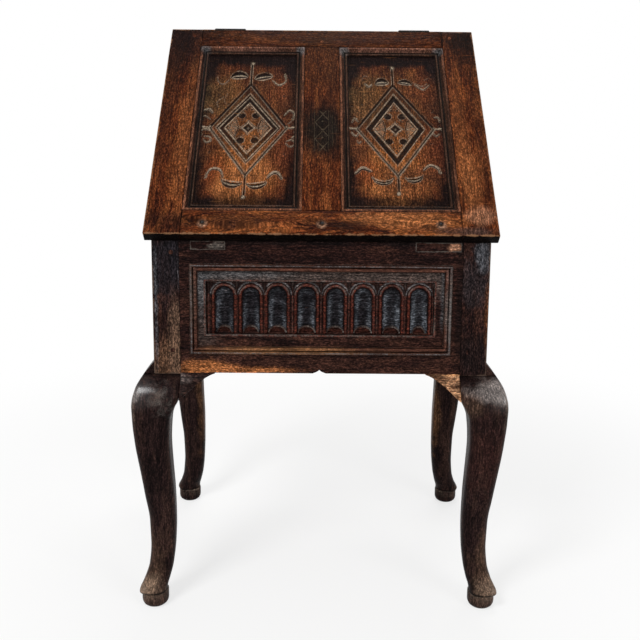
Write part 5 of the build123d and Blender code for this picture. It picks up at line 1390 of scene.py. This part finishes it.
class BIBLEBOX_OT_legs(bpy.types.Operator):
    """Shape the four cabriole legs"""
    bl_idname = "biblebox.legs"
    bl_label = "Legs"

    def execute(self, context):
        for row, sign_y in (("front", -1), ("back", 1)):
            for side, sign_x in (("left", -1), ("right", 1)):
                name = "leg_%s_%s" % (row, side)
                points = leg_surface(sign_x, sign_y, 120 + 3 * sign_x + sign_y)
                points = np.clip(points, *(np.array(corner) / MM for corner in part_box(name)))
                pad = pad_surface(sign_x, sign_y)
                faces = tube_faces(*points.shape[:2]) + tube_faces(*pad.shape[:2], points.size // 3)
                knee = [((sign_x * 324, sign_y * 240, 410), (40, 60, 34), 0.6, 0.3)]
                web = [((-284, -240, 402), (32, 40, 28), (0.27, 0.24, 0.215), 0.9, 1.2)]
                material = oak("oak_" + name, shades("leg"), grain="z", seed=81.0 + 2 * sign_x + sign_y, swirl=1.0,
                               zones=self.spots(row, sign_x, sign_y), soot=0.45, soot_size=10.0, rough=0.32,
                               shine=0.022, polish=knee, crackle=web if name == "leg_front_left" else (), fleck=0.65,
                               carved=((0.006, 0.005, 0.0045), (0.24, 0.18, 0.14)))
                put_in(name + "_shaped", np.vstack([points.reshape(-1, 3), pad.reshape(-1, 3)]), faces, material,
                       "carcass", [name], self.marks(points), sharp=45.0)
        return {"FINISHED"}

    def marks(self, points):
        """Where a leg and its pad are rubbed, on the crest of the knee and the toe, and where they are darker: in a
        band just under the top of the leg, round its sole and on the pad.
        """
        height = points[..., 2]
        corner = np.zeros(height.shape)
        corner[:, 4:8] = 1.0
        crest = corner * smooth_step(height, 330, 395) * smooth_step(LEG_TOP - height, 22, 40)
        toe = corner * np.exp(-((height - 36) / 8) ** 2)
        rubbed = np.maximum(crest * 0.55, toe * 0.9)
        # Darker in a band just under the top of the leg and round its sole
        darkened = 0.6 * smooth_step(height, 434, 441) + 0.9 * smooth_step(33 - height, 0, 3)
        return {"ridge": np.concatenate([rubbed.ravel(), np.repeat(PAD[:, 2], PAD_SIDES)]),
                "hollow": np.concatenate([darkened.ravel(), np.repeat(PAD[:, 3], PAD_SIDES)])}

    def spots(self, row, sign_x, sign_y):
        """Spots of colour on a leg: worn foot with its toe lighter, partly as a painted highlight, knees greyed as
        burnished wood and as a painted highlight, reddish shin.
        """
        red = (0.03, 0.011, 0.009)
        if row == "back":
            return [((sign_x * 322, sign_y * 240, 30), (40, 40, 24), (0.13, 0.085, 0.06), 0.5, 1.0),
                    ((sign_x * 262, 200, 230), (22, 40, 130), (0.12, 0.06, 0.03), 0.65 + 0.15 * sign_x, 1.0)]
        foot = [((sign_x * 320, -242, 88), (44, 40, 80), (0.095, 0.055, 0.036), 0.55, 0.7),
                # The lighter toe: worn, and a painted highlight on its top
                ((sign_x * 324, -242, 40), (46, 44, 30), (0.20, 0.135, 0.095), 0.75, 0.5),
                ((sign_x * 316, -242, 12), (60, 60, 16), (0.06, 0.036, 0.028), 0.7, 0.4)]
        if sign_x < 0:
            # The grey spots on the knees, here and below: burnished wood and a painted highlight
            return foot + [((-336, -240, 250), (16, 40, 130), red, 0.6, 0.8),
                           ((-330, -238, 412), (24, 34, 20), (0.19, 0.175, 0.17), 0.7, 0.6)]
        return foot + [((300, -240, 300), (60, 40, 100), red, 0.45, 0.9),
                       ((312, -240, 419), (56, 40, 24), (0.21, 0.182, 0.172), 0.9, 0.7),
                       ((270, -240, 395), (26, 30, 26), (0.10, 0.06, 0.04), 0.5, 0.9)]


class BIBLEBOX_OT_brackets(bpy.types.Operator):
    """Ease the brackets between legs and carcass"""
    bl_idname = "biblebox.brackets"
    bl_label = "Brackets"

    def execute(self, context):
        eased = {"ease": 0.8, "shortest": 8.0}
        for side in ("left", "right"):
            for row in ("front", "back"):
                worn_board("side_bracket_%s_%s" % (row, side), shades("leg"), "oak_leg", grain="y",
                           seed=91.0 + len(row) + len(side), soot=0.4, rough=0.32, **eased)
        worn = [((-262, -218, 434), (34, 40, 14), (0.105, 0.085, 0.08), 0.75, 0.8)]
        worn_board("front_bracket_left", shades("leg"), "oak_leg", grain="x", seed=97.0, soot=0.3, rough=0.34,
                   zones=worn, fleck=1.0, **eased)
        broken = ((0.12, 0.052, 0.027), (0.42, 0.235, 0.13), tuple(context.scene.biblebox_colours.raw))
        # Two dark spots on the broken bracket: one along its top where it meets the board, one by the leg
        dark_spots = [((206, -218, 438), (26, 40, 16), (0.05, 0.022, 0.013), 0.85, 0.8),
                 ((250, -218, 424), (30, 40, 8), (0.04, 0.018, 0.012), 0.8, 0.8)]
        worn_board("front_bracket_right", broken, "oak_broken_bracket", "_broken", grain="x", seed=99.0, soot=0.35,
                   soot_size=34.0, rough=0.6, bump=0.9, figure=1.0, swirl=2.0, zones=dark_spots, fleck=1.0, **eased)
        return {"FINISHED"}


class BIBLEBOX_OT_small_parts(bpy.types.Operator):
    """Finish the pegs, hinges and nails, and add the stubs of the ledge nails"""
    bl_idname = "biblebox.small_parts"
    bl_label = "Pegs and ironwork"

    def execute(self, context):
        iron = self.iron(context.scene.biblebox_colours.iron)
        peg = oak("oak_peg", shades("case"), grain="z", seed=103.0, pores=0.8)
        lid_peg = oak("oak_lid_peg", shades("lid"), grain="x", lid=True, seed=105.0, soot=0.4)
        for node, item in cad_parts.items():
            if node.startswith("hinge_"):
                self.paint(item, iron)
            elif node == "carcass_pegs":
                self.paint(item, peg)
            elif node == "lid_pegs":
                self.paint(item, lid_peg)
        self.ledge_nails(iron)
        return {"FINISHED"}

    def paint(self, item, material):
        """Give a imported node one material."""
        if not item.material_slots:
            item.data.materials.append(material)
        for slot in item.material_slots:
            slot.material = material

    def iron(self, colour_of_iron):
        """Dark forged iron with a little rust."""
        material, tree = new_material("iron_forged")
        place = add(tree, "ShaderNodeTexCoord").outputs["Object"]
        cloud = noise(tree, place, 180.0, 5.0, 0.65)
        base = tint(tree, rise(tree, cloud, 0.35, 0.65), times(colour_of_iron, 0.5), colour_of_iron)
        rusty = rise(tree, noise(tree, place, 90.0, 4.0, 0.6), 0.58, 0.70, 0.0, 0.6)
        base = tint(tree, rusty, base, (0.075, 0.03, 0.014))
        relief = add(tree, "ShaderNodeBump", {"Height": cloud, "Strength": 0.5, "Distance": 0.0004}).outputs[0]
        show(tree, add(tree, "ShaderNodeBsdfPrincipled", {"Base Color": base, "Normal": relief, "Metallic": 0.8,
                                                          "Roughness": rise(tree, cloud, 0.3, 0.7, 0.42, 0.68)}))
        return material

    def ledge_nails(self, iron):
        """Broken nails of a lost book ledge: low domes turned about their axes, each a little out of round."""
        share = np.array([0.004, 0.35, 0.65, 0.85, 1.0, 1.0])[:, None]
        height = np.array([0.5, 0.42, 0.25, 0.1, 0.0, -4.0])[:, None]
        angle = np.linspace(0, 2 * math.pi, 24, endpoint=False)[None, :]
        points, faces = [], []
        for number, place in enumerate(LEDGE_NAILS):
            radius = 2.7 * (1 + 0.12 * np.cos(angle * 3 + number))
            u = place + radius * share * np.cos(angle)
            v = NAIL_V + radius * share * np.sin(angle)
            points.append(lid_points(u, v, LID_THICKNESS + 0.1 + height).reshape(-1, 3))
            faces += tube_faces(*u.shape, number * u.size)
        put_in("lid_ledge_nails", np.vstack(points), faces, iron, "lid")


# Stage

class BIBLEBOX_OT_stage(bpy.types.Operator):
    """Set the floor, the lamps, the world and the camera"""
    bl_idname = "biblebox.stage"
    bl_label = "Stage"

    def execute(self, context):
        self.floor(context)
        self.lamps(context)
        self.world(context)
        self.camera(context)
        context.scene.view_settings.view_transform = "Standard"
        return {"FINISHED"}

    def floor(self, context):
        """A wide pale floor that keeps the shadow: part its own light, part what falls on it."""
        mesh = bpy.data.meshes.new("floor")
        reach = 14.0
        mesh.from_pydata([(reach * x, reach * y, 0) for x, y in CORNERS], [], [(0, 1, 2, 3)])
        floor = bpy.data.objects.new("floor", mesh)
        context.scene.collection.objects.link(floor)
        material, tree = new_material("floor_pale")
        colour_of_floor = tuple(context.scene.biblebox_colours.floor) + (1.0,)
        lit = add(tree, "ShaderNodeBsdfDiffuse", {"Color": colour_of_floor}).outputs[0]
        glow = add(tree, "ShaderNodeEmission", {"Color": (1.0, 1.0, 1.0, 1.0), "Strength": 1.0}).outputs[0]
        away = vector(tree, "LENGTH", add(tree, "ShaderNodeTexCoord").outputs["Object"])
        share = calc(tree, "MULTIPLY", seen_ray(tree), rise(tree, away, 0.5, 1.6, 0.72, 1.0))
        show(tree, add(tree, "ShaderNodeMixShader", {0: share, 1: lit, 2: glow}))
        mesh.materials.append(material)

    def lamps(self, context):
        """Three soft lamps: the main one above and to the left, a fill to the right and one over the back."""
        lamps = (("key", (-1.3, -2.0, 2.6), (0.0, -0.1, 0.7), 0.9, 62.0),
                 ("fill", (1.9, -2.2, 1.2), (0.0, 0.0, 0.5), 1.1, 26.0),
                 ("top", (0.2, 0.9, 2.8), (0.0, 0.0, 0.9), 1.2, 26.0))
        for name, place, aim, size, power in lamps:
            lamp = bpy.data.lights.new(name, "AREA")
            lamp.shape = "SQUARE"
            lamp.size = size
            lamp.energy = power
            item = bpy.data.objects.new(name, lamp)
            item.location = place
            item.rotation_euler = (Vector(aim) - Vector(place)).to_track_quat("-Z", "Y").to_euler()
            context.scene.collection.objects.link(item)

    def world(self, context):
        """Even light all round; white where it is seen."""
        world = bpy.data.worlds.new("studio")
        context.scene.world = world
        world.use_nodes = True
        tree = world.node_tree
        tree.nodes.clear()
        strength = calc(tree, "MULTIPLY_ADD", seen_ray(tree), 0.65, 0.35)
        show(tree, add(tree, "ShaderNodeBackground", {"Color": (1.0, 1.0, 1.0, 1.0), "Strength": strength}), "World")

    def camera(self, context):
        """The camera stands in front, a little above the middle, looking slightly down."""
        yaw, pitch, roll = (math.radians(angle) for angle in (0.32, 9.21, 0.51))
        ahead = Vector((math.sin(yaw) * math.cos(pitch), math.cos(yaw) * math.cos(pitch), -math.sin(pitch)))
        right = Vector((math.cos(yaw), -math.sin(yaw), 0.0))
        up = right.cross(ahead)
        right_turned = right * math.cos(roll) + up * math.sin(roll)
        up_turned = up * math.cos(roll) - right * math.sin(roll)
        camera = bpy.data.cameras.new("camera")
        camera.sensor_width = 36.0
        camera.lens = 48.375
        camera.shift_y = -0.10
        item = bpy.data.objects.new("camera", camera)
        matrix = Matrix((right_turned, up_turned, -ahead)).transposed().to_4x4()
        matrix.translation = Vector((-0.0106, -1.7081, 0.898))
        item.matrix_world = matrix
        context.scene.collection.objects.link(item)
        context.scene.camera = item


class BIBLEBOX_PT_panel(bpy.types.Panel):
    """Lists the sizes, the colours and the pieces"""
    bl_idname = "BIBLEBOX_PT_panel"
    bl_label = "Bible box"
    bl_space_type = "VIEW_3D"
    bl_region_type = "UI"
    bl_category = "Bible box"

    def draw(self, context):
        for group in (context.scene.biblebox_carving, context.scene.biblebox_wear, context.scene.biblebox_colours):
            column = self.layout.column(align=True)
            for key in group.bl_rna.properties.keys():
                if key not in ("rna_type", "name"):
                    column.prop(group, key)
        for operator in OPERATORS:
            self.layout.operator(operator.bl_idname)


GROUPS = (BIBLEBOX_Carving, BIBLEBOX_Wear, BIBLEBOX_Colours)
OPERATORS = (BIBLEBOX_OT_stage, BIBLEBOX_OT_lid_panels, BIBLEBOX_OT_lid_mouldings, BIBLEBOX_OT_lid_frame,
             BIBLEBOX_OT_front_board, BIBLEBOX_OT_front_mouldings, BIBLEBOX_OT_posts, BIBLEBOX_OT_case_boards,
             BIBLEBOX_OT_legs, BIBLEBOX_OT_brackets, BIBLEBOX_OT_small_parts)


def register():
    """Add the property groups, the operators and the panel."""
    for item in GROUPS + OPERATORS + (BIBLEBOX_PT_panel,):
        bpy.utils.register_class(item)
    bpy.types.Scene.biblebox_carving = PointerProperty(type=BIBLEBOX_Carving)
    bpy.types.Scene.biblebox_wear = PointerProperty(type=BIBLEBOX_Wear)
    bpy.types.Scene.biblebox_colours = PointerProperty(type=BIBLEBOX_Colours)


def unregister():
    """Take away all that register adds."""
    del bpy.types.Scene.biblebox_colours, bpy.types.Scene.biblebox_wear, bpy.types.Scene.biblebox_carving
    for item in reversed(GROUPS + OPERATORS + (BIBLEBOX_PT_panel,)):
        bpy.utils.unregister_class(item)


def main():
    """Register the add-on, make the node groups and make every piece."""
    register()
    for make in (make_grain_group, make_patina_group, make_arris_group, make_zone_group):
        make()
    for operator in OPERATORS:
        group, name = operator.bl_idname.split(".")
        result = getattr(getattr(bpy.ops, group), name)()
        if "FINISHED" not in result:
            raise RuntimeError("%s did not finish" % operator.bl_idname)


if __name__ == "__main__":
    main()
